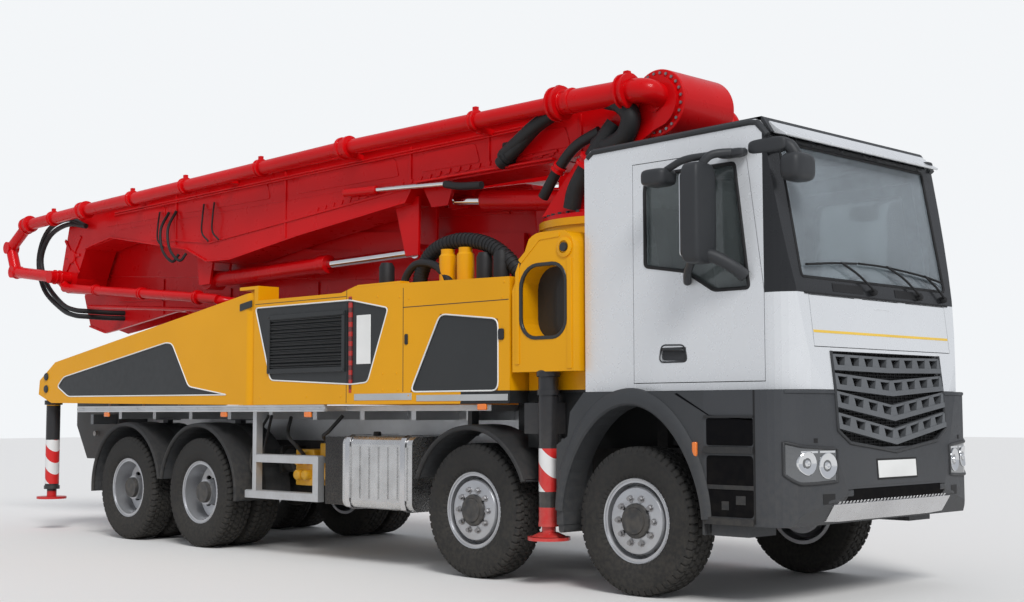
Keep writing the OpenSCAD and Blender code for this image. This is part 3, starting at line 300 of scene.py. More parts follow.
def upright(outline, y):
    """Points in x and z set at one y."""
    return np.insert(np.asarray(outline, float), 1, y, axis=1)


def bead(outline, y, radius, sides=8):
    """A thin round bead along a closed outline in x and z, at one y."""
    return tube(upright(outline, y), radius, sides, 1, True)


def around(centre, radius, count, start=0.0):
    """Points evenly round a circle in a plane, from the start angle on."""
    angle = start + 2 * math.pi * np.arange(count)[:, None] / count
    return np.asarray(centre) + radius * np.hstack([np.cos(angle), np.sin(angle)])


sides = (("right", -1), ("left", 1))
axle_x, axle_z = (4.78, 3.08, -0.82, -2.17), 0.54
frame_paint = surface("frame_paint", (0.018, 0.019, 0.021), 0.55, dust=0.12, grain=(160, 0.15))
knuckles = [f"knuckle_{axle}_{side}" for axle in (1, 2) for side, _ in sides]
dress(frame_paint, "chassis_frame", "engine", "axles", *knuckles)
reservoir = [turned([(0, 0), (0.08, 0.012), (0.12, 0.05), (0.12, 0.62), (0.08, 0.658), (0, 0.67)],
                    (x, 0.60, 0.86), "x") for x in (-0.60, 2.42)]
straps = [prism(rounded([(0.425, 0.80), (0.725, 0.72), (0.725, 1.0), (0.425, 1.0)], 0.05), x, x + 0.04, "x")
          for x in (-0.45, -0.16, 2.55, 2.86)]
piece("air_reservoirs", both(reservoir + straps), frame_paint, "root", 0.004)

# Wheels: radial tyres with chunky block tread on painted steel rims, ten nuts to a wheel.
# A tyre is its cross-section turned about the axle, with the grooves pressed into the tread.
rubber = surface("tyre_rubber", (0.020, 0.020, 0.020), 0.80, grain=(500, 0.06), mottle=(3, 0.15), dust=0.05)
pitches, to_pitch = 54, 6
half_section = [(0, .540), (.030, .540), (.034, .540), (.040, .5398), (.044, .5398), (.074, .539),
                (.078, .539), (.084, .5388), (.088, .5385), (.106, .538), (.118, .5355), (.128, .529),
                (.136, .518), (.139, .504), (.1405, .500), (.1425, .482), (.1445, .479), (.1445, .474),
                (.1475, .455), (.150, .425), (.1495, .398), (.147, .368), (.1455, .364), (.145, .358),
                (.142, .343), (.136, .327), (.127, .313), (.112, .303), (.100, .297)]


def tread(centre_x, centre_y):
    """Radius and width from the section; a point sinks where it lies in a ring groove, or where its angle
    falls in the first fifth of a block pitch, each row half a pitch on from the next."""
    half = np.array(half_section)
    section = np.vstack([half[:0:-1] * (-1, 1), half])
    v, r = section[:, 0][None], section[:, 1][None]
    angle = (np.arange(pitches * to_pitch) / to_pitch)[:, None]
    across = np.abs(v)
    row = np.digitize(across, (0.037, 0.081))
    phase = (angle + 0.5 * row + 0.22 * np.sign(v) + 2.2 * across) % 1
    cross = (phase < 0.2) & (across < 0.1395)
    ring = ((across > .033) & (across < .041)) | ((across > .077) & (across < .085))
    sunk = np.where(cross, 0.013, np.where(ring, 0.014, 0.0)) * (r > 0.499)
    turn_by = 2 * math.pi * angle / pitches
    radius = r - sunk
    wide = v * (1 - np.where(cross & (across > 0.12), 0.05, 0.0))
    grid = np.stack([radius * np.cos(turn_by), wide + 0 * turn_by, radius * np.sin(turn_by)], -1)
    return skin(grid + (centre_x, centre_y, axle_z), wrap_u=True, wrap_v=True)


rim_silver = surface("rim_silver", (0.50, 0.51, 0.53), 0.34, metallic=0.75, mottle=(5, 0.08), dust=0.10)
hub_dark = surface("hub_dark", (0.035, 0.036, 0.038), 0.45, dust=0.12)
nut_steel = surface("nut_steel", (0.30, 0.30, 0.31), 0.35, metallic=0.9, dust=0.15)
for axle, x in enumerate(axle_x, 1):
    for side, s in sides:
        body, steered = f"wheel_{axle}_{side}", axle < 3
        y = 1.06 if steered else 1.08
        rings = [tread(x, s * y)] + ([] if steered else [tread(x, s * (y - 0.34))])
        tyre = piece(f"tread_{axle}_{side}", rings, rubber, body, crease=28)
        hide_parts(f"tyre_{axle}_{side}")
        dress(rim_silver, f"rim_{axle}_{side}")
        out, ring_r, face = (0.150, 0.1675, 0.146) if steered else (0.095, 0.150, -0.092)
        hub_r, foot = (0.092, 0.122) if steered else (0.100, -0.05)
        cap = [(0, out + .002), (hub_r * .45, out + .003), (hub_r * .52, out + .001),
               (hub_r * .82, out + .001), (hub_r * .90, out + .004), (hub_r + .002, out + .003),
               (hub_r + .005, out - .01), (hub_r + .006, foot + .022), (hub_r + .030, foot + .016),
               (hub_r + .036, foot + .006), (hub_r + .036, foot - .004), (0, foot - .004)]
        hub, outward = (x, s * y, axle_z), (1, s)
        piece(f"hub_cap_{axle}_{side}", [turned(np.multiply(cap, outward), hub, count=40)], hub_dark, body,
              crease=25)
        nuts = []
        for cx, cz in around((x, axle_z), ring_r, 10):
            nuts.append(prism(around((cx, cz), 0.0175, 6), s * (y + face - 0.032), s * (y + face + 0.002)))
            foot, edge, top = (s * (face - sunk) for sunk in (0.036, 0.022, 0.020))
            nuts.append(stud((cx, s * y, cz), 0.026, foot, edge, top, count=14))
        piece(f"wheel_nuts_{axle}_{side}", nuts, nut_steel, body, crease=25)
        if steered:
            dish = [(.10, .118), (.228, .118), (.238, .114), (.246, .100), (.250, .080), (.254, -.02),
                    (.250, -.03), (.10, .10)]
            piece(f"wheel_dish_{axle}_{side}", [turned(np.multiply(dish, outward), hub, count=72, closed=True)],
                  rim_silver, body, crease=25)
            inner, outer = (around((x, axle_z), q, 10, math.pi / 10) for q in (0.23, 0.2535))
            hands = [tube(upright(ends, s * (y + 0.058)), 0.027, 20, 1) for ends in zip(inner, outer)]
            piece(f"hand_holes_{axle}_{side}", hands, hub_dark, body, crease=40)
        lip = [(.298, .112), (.309, .112), (.312, .121), (.306, .126), (.297, .121)]
        piece(f"rim_lip_{axle}_{side}", [turned(np.multiply(lip, outward), hub, count=72, closed=True)],
              rim_silver, body, crease=25)

# Mudguards: black grained plastic arches over the wheels, edged with a rolled lip, and the large front
# wheel arch that carries the cab's lower edge, with an orange side reflector and a mud flap behind.
guard_plastic = surface("guard_plastic", (0.024, 0.025, 0.027), 0.6, grain=(700, 0.25), mottle=(2, 0.12),
                        dust=0.08)
fender_plastic = surface("fender_plastic", (0.045, 0.048, 0.052), 0.5, grain=(700, 0.25), mottle=(2, 0.08),
                         dust=0.06)
dress(fender_plastic, "mudguards")


def arc(cx, cz, r, a, b, n):
    """Points of an arc in x and z, n steps from angle a to b."""
    t = np.radians(np.linspace(a, b, n + 1))
    return np.stack([cx + r * np.cos(t), cz + r * np.sin(t)], 1)


def swept(x, r, y, turn_by, swell=0.0):
    """A section of radii and y swept about the axle at x, stretched upwards by the swell."""
    return sheath(np.stack([x + r * np.cos(turn_by), y + 0 * turn_by,
                            axle_z + (r + swell) * np.sin(turn_by)], -1))


lips = []
guard_r, guard_y = np.array([(0.684, 1.248), (0.690, 1.20), (0.692, 0.95), (0.690, 0.90), (0.676, 0.90),
                             (0.676, 1.248)]).T
for x, a, b in ((axle_x[1], 22, 158), (axle_x[2], -5, 170), (axle_x[3], 10, 185)):
    lips += [tube(upright(arc(x, axle_z, 0.664, a, b, 28), 1.238), 0.021, 10, 1),
             swept(x, guard_r, guard_y, np.radians(np.linspace(a + 1, b - 1, 30))[:, None])]
piece("guard_lips", both(lips), guard_plastic, "root")
flare_out, flare_y = np.array([(0, 1.236), (-.004, 1.262), (.010, 1.276), (.045, 1.281), (.085, 1.275),
                               (.118, 1.256), (.122, 1.236)]).T
sweep = np.radians(np.linspace(4, 176, 48))[:, None]
flare = swept(axle_x[0], 0.657 + flare_out * (0.62 + 0.38 * np.sin(sweep)), flare_y, sweep,
              0.185 * np.sin(sweep))
flap = prism(rounded([(4.065, 0.42), (4.12, 0.42), (4.13, 0.80), (4.165, 1.10), (4.10, 1.14), (4.065, 1.0)],
                     0.03), 0.93, 1.235)
piece("arch_flares", both([flare, flap]), fender_plastic, "root", crease=30)
orange = surface("amber_lens", (0.85, 0.20, 0.02), 0.2, coat=1.0, grain=(900, 0.3), dust=0.05)
markers = [slab((x - 0.05, 1.236, 1.285), (x + 0.05, 1.262, 1.335)) for x in (-2.55, -0.35, 0.98)]
markers += [slab((3.20, 1.236, 1.345), (3.30, 1.262, 1.395)), slab((5.36, 1.246, 1.02), (5.40, 1.270, 1.12))]
piece("side_markers", both(markers), orange, "root", bevel=0.008)

# Side tanks: a polished ribbed fuel tank with two straps, and a dark battery box behind it.
# Both hang on brackets from the rails.
dress(surface("polished_tank", (0.62, 0.62, 0.62), 0.28, metallic=0.95, mottle=(5, 0.12), grain=(60, 0.015),
              dust=0.12, paint=[((1.1, 0.5, 0.4), (1.424, 1.3, 1.3), (0.04, 0.04, 0.042))]), "side_tanks")
straps = []
for x in (1.50, 2.24):
    line = np.insert([(0.63, 1.128), (1.13, 1.128), (1.19, 1.105), (1.208, 1.05), (1.208, 0.56),
                      (1.19, 0.505), (1.13, 0.482), (0.63, 0.482)], 0, x, axis=1)
    section = np.array([(-0.03, 0), (0.03, 0), (0.03, -0.006), (-0.03, -0.006)])
    away = line - (x, 0.9, 0.8)
    away /= np.linalg.norm(away, axis=1)[:, None]
    straps.append(sheath(line[:, None] + section[None, :, :1] * (1, 0, 0)
                         - section[None, :, 1:] * away[:, None]))
cap = turned([(0, 0), (.035, 0), (.035, .03), (.028, .04), (0, .04)], (1.60, 0.95, 1.118), "z", 20)
steel = surface("stainless", (0.66, 0.66, 0.67), 0.25, metallic=1.0, grain=(200, 0.05), dust=0.1)
piece("tank_straps", both(straps), steel, "root", crease=30)
piece("tank_caps", both([cap]), guard_plastic, "root", crease=30)

# Access steps and deck: aluminium channels bolted to the deck's bearers, punched treads, and the deck's
# edge rail. Yellow valve blocks and a hose loop hang behind the steps.
alloy = surface("aluminium", (0.58, 0.59, 0.60), 0.38, metallic=0.75, mottle=(4, 0.08), grain=(300, 0.12),
                dust=0.15)
dress(alloy, "deck", "step_frames")
rail = prism(rounded([(1.225, 1.335), (1.262, 1.335), (1.262, 1.352), (1.252, 1.358), (1.252, 1.376),
                      (1.262, 1.382), (1.262, 1.398), (1.225, 1.398)], 0.003, 2), -3.17, 1.225, "x")
rail_bolts = [stud((x, 0, 1.367), 0.009, 1.25, 1.257, 1.259) for x in np.arange(-3.05, 1.2, 0.28)]
teeth = [slab((x, 1.125, z), (x + 0.012, 1.203, z + 0.009)) for start, z in ((-0.04, 0.588), (0.08, 0.928))
         for x in np.arange(start, 1.05, 0.03)]
piece("deck_edge", both([rail] + rail_bolts + teeth), alloy, "root", crease=30)
pump_yellow = surface("pump_yellow", (0.72, 0.37, 0.01), 0.35, coat=0.3, dust=0.1)
block = [slab((0.34, 0.52, 0.64), (0.62, 0.90, 0.98)), slab((0.66, 0.56, 0.70), (0.88, 0.86, 1.04)),
         slab((0.40, 0.424, 0.76), (0.84, 0.53, 0.86))]
block += [turned([(0, .87), (.05, .87), (.05, .95), (.035, .965), (0, .965)], (x, 0, z), "y", 18)
          for x, z in ((0.42, 0.74), (0.54, 0.74), (0.42, 0.88), (0.54, 0.88), (0.77, 0.86))]
piece("valve_blocks", both(block), pump_yellow, "root", 0.010)
hose_black = surface("hose_black", (0.018, 0.018, 0.019), 0.5, grain=(260, 0.5), dust=0.15)
loops = [tube([(-0.10, 0.9, 1.30), (-0.13, 1.02, 1.08), (-0.17, 1.06, 0.86), (-0.10, 1.07, 0.74),
               (-0.02, 1.05, 0.84), (-0.03, 0.98, 1.06), (-0.05, 0.9, 1.30)], 0.014, 10),
         tube([(0.48, 0.9, 0.92), (0.50, 1.02, 1.02), (0.40, 1.04, 1.12), (0.26, 0.9, 1.28)], 0.018, 10),
         tube([(0.80, 0.8, 1.02), (0.84, 0.96, 1.10), (0.95, 0.98, 1.16), (1.05, 0.9, 1.30)], 0.018, 10)]
piece("chassis_hoses", both(loops), hose_black, "root")

# Side bodies and swing legs: folded steel sheet in amber gloss with charcoal fields let in, each edged
# by a thin white line; a black louvre, a blank white plate and a red reflector strip on the cabinet.
amber_gloss = dict(colour=(0.76, 0.345, 0.002), rough=0.36, coat=0.12, shine=0.2, mottle=(0.8, 0.05),
                   grain=(90, 0.006), dust=0.03)
inside_black, band_red = (0.02, 0.021, 0.022), (0.62, 0.02, 0.02)
body_yellow = surface("body_yellow", **amber_gloss,
                      paint=[((0.39, 1.17, 1.72), (1.48, 1.30, 2.205), inside_black),
                             ((3.0, -1.0, 0.5), (4.4, 1.30, 1.50), inside_black)])
dress(body_yellow, "pedestal", "body_sides")
rear_grey = surface("rear_grey", (0.060, 0.062, 0.064), 0.5, mottle=(3, 0.2), dust=0.15)
dress(rear_grey, "pump_unit", "hopper", "hopper_grate")
leg_bands = [((-4.3, 0.9, 0.2), (-3.7, 1.4, 1.41), (0.03, 0.03, 0.032)),
             ((-4.2, 0.9, 0.52), (-3.7, 1.4, 1.02), band_red, (0.75, 0.75, 0.74), 0.26, 0.9),
             ((-4.3, 0.9, 0.34), (-3.7, 1.4, 0.44), (0.55, 0.02, 0.02))]
leg_yellow = surface("leg_yellow", **amber_gloss, paint=leg_bands)
dress(leg_yellow, "rear_leg_left", "rear_leg_right")
charcoal = surface("charcoal", (0.026, 0.028, 0.029), 0.42, coat=0.2, mottle=(1.2, 0.1), dust=0.05)
line_white = surface("line_white", (0.78, 0.78, 0.76), 0.4, dust=0.05)
field_b = rounded([(0.15, 2.32), (1.57, 2.32), (2.09, 2.225), (1.82, 1.59), (1.60, 1.575), (0.40, 1.63)],
                  0.045)
field_c = rounded([(2.38, 1.50), (3.43, 1.50), (3.43, 2.07), (2.75, 2.14)], 0.07)
field_a = rounded([(-3.65, 1.625), (-3.40, 1.51), (-0.30, 1.50), (-0.98, 1.59), (-1.29, 2.03), (-1.40, 2.045),
                   (-3.51, 1.73)], 0.05)
piece("cabinet_fields", both([prism(f, 1.2365, 1.2415) for f in (field_b, field_c)]), charcoal, "root")
piece("cabinet_lines", both([bead(f, 1.249, 0.0068) for f in (field_b, field_c)]), line_white, "root",
      crease=60)
for side, s in sides:
    piece(f"leg_field_{side}", [prism(field_a, s * 1.2385, s * 1.2425)], charcoal, f"rear_leg_{side}")
    piece(f"leg_line_{side}", [bead(field_a, s * 1.249, 0.0068)], line_white, f"rear_leg_{side}", crease=60)
    boss = np.multiply([(0, 1.249), (0.042, 1.249), (0.046, 1.256), (0.036, 1.268), (0, 1.270)], (1, s))
    trims = [turned(boss, (-3.90, 0, z), "y", 24) for z in (1.74, 1.60)]
    trims += [prism(rounded([(-0.10, 2.30), (0.10, 2.335), (0.10, 2.40), (-0.10, 2.37)], 0.01),
                    s * 1.249, s * 1.258)]
    trims += [turned([(inner, low), (outer, low), (outer, high), (inner, high)],
                     (-3.95, s * 1.13, 0), "z", 28, True)
              for inner, outer, low, high in ((0.079, 0.100, 1.42, 1.47), (0.055, 0.088, 0.46, 0.50))]
    piece(f"leg_trims_{side}", trims, charcoal, f"rear_leg_{side}", bevel=0.003, crease=30)
louvre = [slab((x0, 1.240, z0), (x1, 1.264, z1))
          for x0, z0, x1, z1 in ((0.36, 1.69, 1.51, 1.73), (0.36, 2.195, 1.51, 2.235),
                                 (0.36, 1.73, 0.40, 2.195), (1.47, 1.73, 1.51, 2.195))]
slats = [prism([(1.205, z), (1.258, z - 0.010), (1.262, z - 0.004), (1.210, z + 0.012)], 0.40, 1.47, "x")
         for z in np.arange(1.752, 2.19, 0.0255)]
corner_bolts = [stud((x, 0, z), 0.012, 1.262, 1.268, 1.270, count=12) for x in (0.38, 1.49)
                for z in (1.71, 2.215)]
piece("louvre", both(louvre + slats + corner_bolts), charcoal, "root", bevel=0.002, crease=30)
piece("label_plates", both([slab((1.66, 1.240, 1.75), (1.85, 1.247, 2.18))]), line_white, "root", bevel=0.004)
red_strip = surface("red_reflector", (0.42, 0.02, 0.015), 0.3, coat=0.6, grain=(500, 0.5), dust=0.05,
                    paint=[((1.5, 1.2, 1.5), (1.7, 1.3, 2.4), (0.45, 0.02, 0.015), (0.12, 0.02, 0.02), 0.085,
                            0.0)])
piece("red_strips", both([prism([(1.565, 1.50), (1.60, 1.50), (1.60, 2.35), (1.555, 2.35)], 1.240, 1.253)]),
      red_strip, "root")
grey_strip = surface("grey_reflector", (0.50, 0.51, 0.51), 0.35, metallic=0.4, grain=(700, 0.3), dust=0.05)
strips = [slab((1.64, 1.249, 1.432), (2.40, 1.2535, 1.49)), slab((2.46, 1.249, 1.420), (3.54, 1.2535, 1.472))]
piece("grey_strips", both(strips), grey_strip, "root", bevel=0.002)
seams = [slab((x0, 1.2485, z0), (x1, 1.2515, z1))
         for x0, z0, x1, z1 in ((2.285, 1.50, 2.291, 2.385), (1.525, 1.41, 1.531, 2.41),
                                (2.29, 2.215, 3.55, 2.221), (0.15, 2.352, 1.52, 2.357))]
piece("cabinet_seams", both(seams), charcoal, "root")
rivet_at = [(2.02, 1.66), (2.20, 1.66), (2.02, 1.52), (2.22, 1.52), (1.95, 2.33), (2.24, 2.31), (2.36, 2.29),
            (3.48, 2.24), (2.36, 1.47), (3.50, 2.36), (0.24, 1.47), (0.95, 1.47), (1.45, 1.47)]
rivets = [stud((x, 0, z), 0.010, 1.249, 1.254, 1.256, taper=0.002) for x, z in rivet_at]
edges = [prism(oblong((1.150, 2.425), (1.252, 2.448), 0.008, 2), 1.67, 2.25, "x"),
         prism(oblong((1.235, 1.396), (1.256, 1.412), 0.004, 2), 1.64, 3.555, "x")]
piece("cabinet_trims", both(rivets + edges), body_yellow, "root", crease=30)
latch = [prism(oblong((3.44, 1.90), (3.50, 1.99), 0.02), 1.248, 1.262),
         prism(oblong((2.31, 1.90), (2.35, 1.99), 0.015), 1.248, 1.258)]
piece("cabinet_latches", both(latch), guard_plastic, "root", bevel=0.003)

# Rear: rubber lip on the hopper, red tail lamps, and a thin grey handrail on the deck.
hopper_rim = np.insert(oblong((-4.155, -0.725), (-3.2, 0.725), 0.05), 2, 1.488, axis=1)
piece("hopper_lip", [tube(hopper_rim, 0.016, 8, 1, True)], hose_black, "root")
dress(surface("steel_worn", (0.35, 0.34, 0.33), 0.45, metallic=0.8, mottle=(9, 0.3), dust=0.2), "agitator")
rail_y = 0.955
rails = [tube(upright([(x, 1.38), (x, 1.86)], rail_y), 0.014, 10, 1) for x in (-3.0, -2.3, -1.6)]
rails += [tube(upright([(-3.06, 1.52), (-3.03, 1.82), (-2.9, 1.88), (-1.7, 1.88), (-1.60, 1.84)], rail_y),
               0.016, 10),
          tube(upright([(-3.0, 1.64), (-1.6, 1.64)], rail_y), 0.011, 8, 1)]
piece("handrails", both(rails), alloy, "root")
tail = surface("tail_lens", (0.50, 0.012, 0.012), 0.2, coat=0.8, grain=(700, 0.4), dust=0.1)
piece("tail_lenses", both([slab((-3.312, y, 1.212), (-3.296, y + 0.12, 1.298)) for y in (0.74, 0.87)]), tail,
      "root", bevel=0.006)

# Pedestal: welded box on the rails with a portal on each side that a jack leg stands in. The portal's
# oval is lined in black, and a pinned lug sits at its upper front corner.
oval = np.vstack([arc(4.02, 2.33, 0.14, 0, 90, 6), arc(3.86, 2.29, 0.18, 90, 180, 6),
                  arc(3.84, 2.06, 0.16, 180, 270, 6), arc(4.02, 2.04, 0.14, 270, 360, 6)])
piece("portal_linings", both([prism(oval, 1.03, 1.05)]), charcoal, "root")
piece("portal_rims", both([bead(oval, 1.244, 0.016)]), charcoal, "root", crease=60)
lug_at = (4.155, 0, 2.585)
lug = [turned([(0, 1.248), (.075, 1.248), (.078, 1.262), (.050, 1.270), (.046, 1.258), (0, 1.258)], lug_at,
              "y", 28),
       prism(rounded([(3.63, 1.70), (3.67, 1.70), (3.67, 2.50), (3.63, 2.42)], 0.01), 1.248, 1.258),
       prism(rounded([(4.18, 1.66), (4.225, 1.66), (4.225, 2.50), (4.18, 2.50)], 0.01), 1.248, 1.258),
       prism(rounded([(3.66, 2.52), (3.88, 2.695), (4.10, 2.705), (4.10, 2.67), (3.89, 2.66), (3.69, 2.49)],
                     0.01), 1.248, 1.256)]
piece("portal_trims", both(lug), body_yellow, "root", bevel=0.003, crease=30)
piece("portal_pins", both([stud(lug_at, 0.036, 1.256, 1.276, 1.279, count=20, taper=0.002)]), hub_dark,
      "root", crease=30)
caps = [turned([(0, 2.40), (.075, 2.40), (.075, 2.66), (.060, 2.68), (.060, 2.72), (0, 2.72)],
               (x, y, 0), "z", 24) for x, y in ((2.50, 0.93), (2.72, 0.93))]
piece("yellow_cylinders", both(caps), body_yellow, "root", crease=30)
black_tops = [turned([(0, 2.42), (.07, 2.42), (.07, 2.62), (.05, 2.66), (0, 2.66)], (x, y, 0), "z", 20)
              for x, y in ((2.95, 0.93), (3.15, 0.93), (1.72, 0.95))]
suction_route = [(2.12, 0.92, 2.36), (2.16, 0.92, 2.56), (2.30, 0.91, 2.72), (2.56, 0.90, 2.79),
                 (2.86, 0.90, 2.76), (3.10, 0.90, 2.66), (3.30, 0.88, 2.48), (3.38, 0.86, 2.30)]
hoses = [tube(suction_route, 0.062, 16, 8),
         tube([(1.98, 0.98, 2.36), (2.02, 0.98, 2.52), (2.16, 0.97, 2.62), (2.40, 0.97, 2.58),
               (2.60, 0.97, 2.40)], 0.035, 12, 8)]
piece("deck_hoses", both(black_tops + hoses), hose_black, "root", crease=30)
ribs, line = [], curve(suction_route, 40)
for share in np.linspace(0.03, 0.97, 44):
    a, b = line[int(share * (len(line) - 2)):][:2]
    v = (b - a) / np.linalg.norm(b - a) * 0.006
    ribs.append(tube([a - v, a, a + v], 0.068, 14, 1))
piece("deck_hose_ribs", both(ribs), hose_black, "root", crease=30)

# Front jack legs: black beams and round legs with a flanged cap, red and white bands low down, and
# a steel foot.
leg_black = surface("leg_black", (0.022, 0.022, 0.024), 0.35, coat=0.4, dust=0.12,
                    paint=[((3.7, 1.0, 0.72), (4.1, 1.4, 1.05), band_red, (0.78, 0.78, 0.77), 0.30, 1.0),
                           ((3.7, 1.0, 0.34), (4.1, 1.4, 0.60), (0.60, 0.02, 0.02))])
dress(leg_black, "front_leg_left", "front_leg_right")
collar_profiles = (
    ([(0, 1.600), (.088, 1.600), (.094, 1.606), (.094, 1.640), (.080, 1.655), (0, 1.655)], False),
    ([(.076, 1.46), (.090, 1.46), (.090, 1.50), (.076, 1.50)], True),
    ([(.052, .455), (.082, .455), (.082, .49), (.052, .49)], True),
    ([(0, .372), (.10, .372), (.14, .378), (.07, .41), (0, .41)], False))
for side, s in sides:
    collars = [turned(profile, (3.9, s * 1.167, 0), "z", 28, ring) for profile, ring in collar_profiles]
    piece(f"leg_collars_{side}", collars, leg_black, f"front_leg_{side}", crease=30)

# Cab: steel shell in silver-white gloss with black window pillars; doors, corner panels and the flap
# under the windscreen are hung in it with dark gaps. Every overlay follows the one skin of the front.
cab_paint = dict(rough=0.28, metallic=0.25, coat=0.3, mottle=(0.7, 0.03), grain=(60, 0.0), dust=0.0)
silver, black_gloss = (0.72, 0.735, 0.75), (0.018, 0.019, 0.021)
cab_silver = surface("cab_silver", silver, paint=[((5.903, -1.0, 2.14), (6.5, 1.3, 3.7), black_gloss)],
                     **cab_paint)
door_silver = surface("door_silver", silver, **cab_paint)
dress(cab_silver, "cab_shell")
dress(door_silver, "door_left", "door_right", "front_flap")
dress(surface("cabin_plastic", (0.10, 0.105, 0.11), 0.6, grain=(600, 0.3), dust=0.0), "cab_interior")
dark_trim = surface("dark_trim", (0.035, 0.037, 0.040), 0.42, grain=(500, 0.2), dust=0.05)
rubber_seal = surface("rubber_seal", (0.015, 0.015, 0.016), 0.6, dust=0.02)
cab_half, bumper_half = 1.15, 1.25


def front_x(y, z, half):
    """The front skin's x: the plan outline at y or the side outline at z, whichever lies further back."""
    y = np.abs(y)
    turn_in, flat_end = half - 0.150, half - 0.620
    flat = 6.240 - np.clip((y - flat_end) / (turn_in - flat_end), 0, 1) * 0.0744
    round_off = 5.930 + np.sqrt(np.clip(0.260 ** 2 - np.clip(y - half + 0.260, 0, 0.260) ** 2, 0, 1))
    side = np.interp(z, (0.560, 0.760, 1.480, 2.180, 3.250, 3.345),
                     (6.110, 6.235, 6.190, 6.110, 5.915, 5.850))
    return np.minimum(np.where(y < turn_in, flat, round_off), side)


def patch(ys, low, high, half, out, thick=0.004, rows=3):
    """A panel on the skin between the curves low(y) and high(y), standing out by out, closed at the back."""
    ys = np.asarray(ys, float)[:, None]
    low, high = np.broadcast_to(low, ys.shape[0])[:, None], np.broadcast_to(high, ys.shape[0])[:, None]
    zs = low + (high - low) * np.linspace(0, 1, rows)[None]
    ys = ys + 0 * zs
    front = np.stack([front_x(ys, zs, half) + out, ys, zs], -1)
    back = front - (thick, 0, 0)
    return sheath(np.concatenate([front, back[:, ::-1]], 1))


def on_front(pairs, half, out):
    """Points on the skin from (y, z) pairs."""
    y, z = np.asarray(pairs, float).T
    return np.stack([front_x(y, z, half) + out, y, z], 1)


def dense(line, steps):
    """The line with steps stations to each of its spans."""
    return np.vstack([np.linspace(a, b, steps, endpoint=False) for a, b in zip(line, line[1:])] + [line[-1:]])


gold = surface("gold_line", (0.80, 0.52, 0.06), 0.35, coat=0.4, dust=0.0)
piece("flap_stripe", [patch(np.linspace(-0.925, 0.925, 30), 1.868, 1.886, cab_half, 0.0015, 0.002)], gold,
      "front_flap")
grip = [tube(on_front([(-0.10, 2.060), (-0.06, 2.066), (0.06, 2.066), (0.10, 2.060)], cab_half, -0.004),
             0.008, 8)]
piece("flap_grip", grip, door_silver, "front_flap")
corners = oblong((-0.985, 2.25), (0.985, 3.20), 0.03)
seal = np.vstack([np.linspace(a, b, 24 if np.linalg.norm(b - a) > 0.3 else 1, endpoint=False)
                  for a, b in zip(corners, np.roll(corners, -1, 0))])
piece("windscreen_seal", [tube(on_front(seal, cab_half, -0.004), 0.012, 8, 1, True)], rubber_seal, "root",
      crease=60)
vents = [patch(np.linspace(a, b, 14), 2.165, 2.222, cab_half, 0.003, 0.004)
         for a, b in ((-0.62, -0.22), (0.22, 0.62))]
lower_lip = [patch(np.linspace(-0.985, 0.985, 40), 2.132, 2.146, cab_half, 0.006, 0.01)]
piece("cowl_vents", vents + lower_lip, rubber_seal, "root")
blades = [[(-0.93, 2.335), (-0.60, 2.365), (-0.27, 2.385)], [(-0.24, 2.388), (0.08, 2.388), (0.42, 2.372)],
          [(0.44, 2.370), (0.68, 2.352), (0.94, 2.320)]]
wiper_arms = [[(-0.50, 2.375), (-0.30, 2.30), (-0.10, 2.185)], [(0.12, 2.388), (0.34, 2.31), (0.55, 2.185)],
              [(0.66, 2.355), (0.80, 2.28), (0.92, 2.185)]]
wiper_parts = []
for blade, arm in zip(blades, wiper_arms):
    for line, out, radius, count in ((blade, 0.016, 0.0085, 8), (blade, 0.028, 0.005, 6),
                                     (arm, 0.034, 0.0085, 8)):
        wiper_parts.append(tube(on_front(line, cab_half, out), radius, count, 8))
    wiper_parts += [turned([(0, -0.01), (0.026, -0.01), (0.024, 0.034), (0.012, 0.044), (0, 0.044)],
                           on_front([arm[2]], cab_half, 0.0)[0], "x", 16)]
piece("wipers", wiper_parts, rubber_seal, "root", crease=50)

# Roof edge, visor and corner mirror: black plastic, in place of the plain CAD trim.
roof_edge = [prism([(4.34, 3.311), (5.855, 3.346), (5.86, 3.372), (4.36, 3.338)], -1.09, 1.09),
             prism([(5.80, 3.3455), (5.855, 3.346), (5.93, 3.252), (5.94, 3.256), (5.87, 3.366),
                    (5.80, 3.371)], -1.09, 1.09)]
gutter = np.array([(4.30, 1.142, 3.262), (4.36, 1.142, 3.300), (5.80, 1.142, 3.328), (5.86, 1.138, 3.318),
                   (5.935, 1.13, 3.225)])
roof_edge += both([tube(gutter, 0.024, 10, 1)])


def pod(centre, half, square=0.45, steps=20):
    """A rounded housing: centre + half * signed powers of the sine and cosine of two angles."""
    u = np.linspace(-math.pi / 2, math.pi / 2, steps)[:, None]
    v = np.linspace(0, 2 * math.pi, 2 * steps, endpoint=False)[None]
    grid = np.stack(np.broadcast_arrays(np.cos(u) * np.cos(v), np.cos(u) * np.sin(v), np.sin(u)), -1)
    return skin(np.asarray(centre) + np.sign(grid) * np.abs(grid) ** square * np.asarray(half), wrap_v=True)


roof_edge += [pod((6.130, -1.06, 2.985), (0.085, 0.130, 0.098), 0.55),
              pod((5.93, -1.115, 3.150), (0.16, 0.045, 0.055), 0.5),
              tube([(5.98, -1.10, 3.16), (6.08, -1.09, 3.14), (6.14, -1.07, 3.04)], 0.045, 14),
              pod((5.98, 0.98, 3.262), (0.03, 0.05, 0.022), 0.6)]
brow = prism([(5.93, 3.250), (6.030, 3.222), (6.038, 3.234), (5.955, 3.290), (5.90, 3.340), (5.885, 3.330)],
             -1.05, 1.05)
piece("roof_brow", [brow], door_silver, "root", 0.004)
trim = piece("roof_trim", roof_edge, dark_trim, "root", crease=32)
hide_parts("cab_trim")

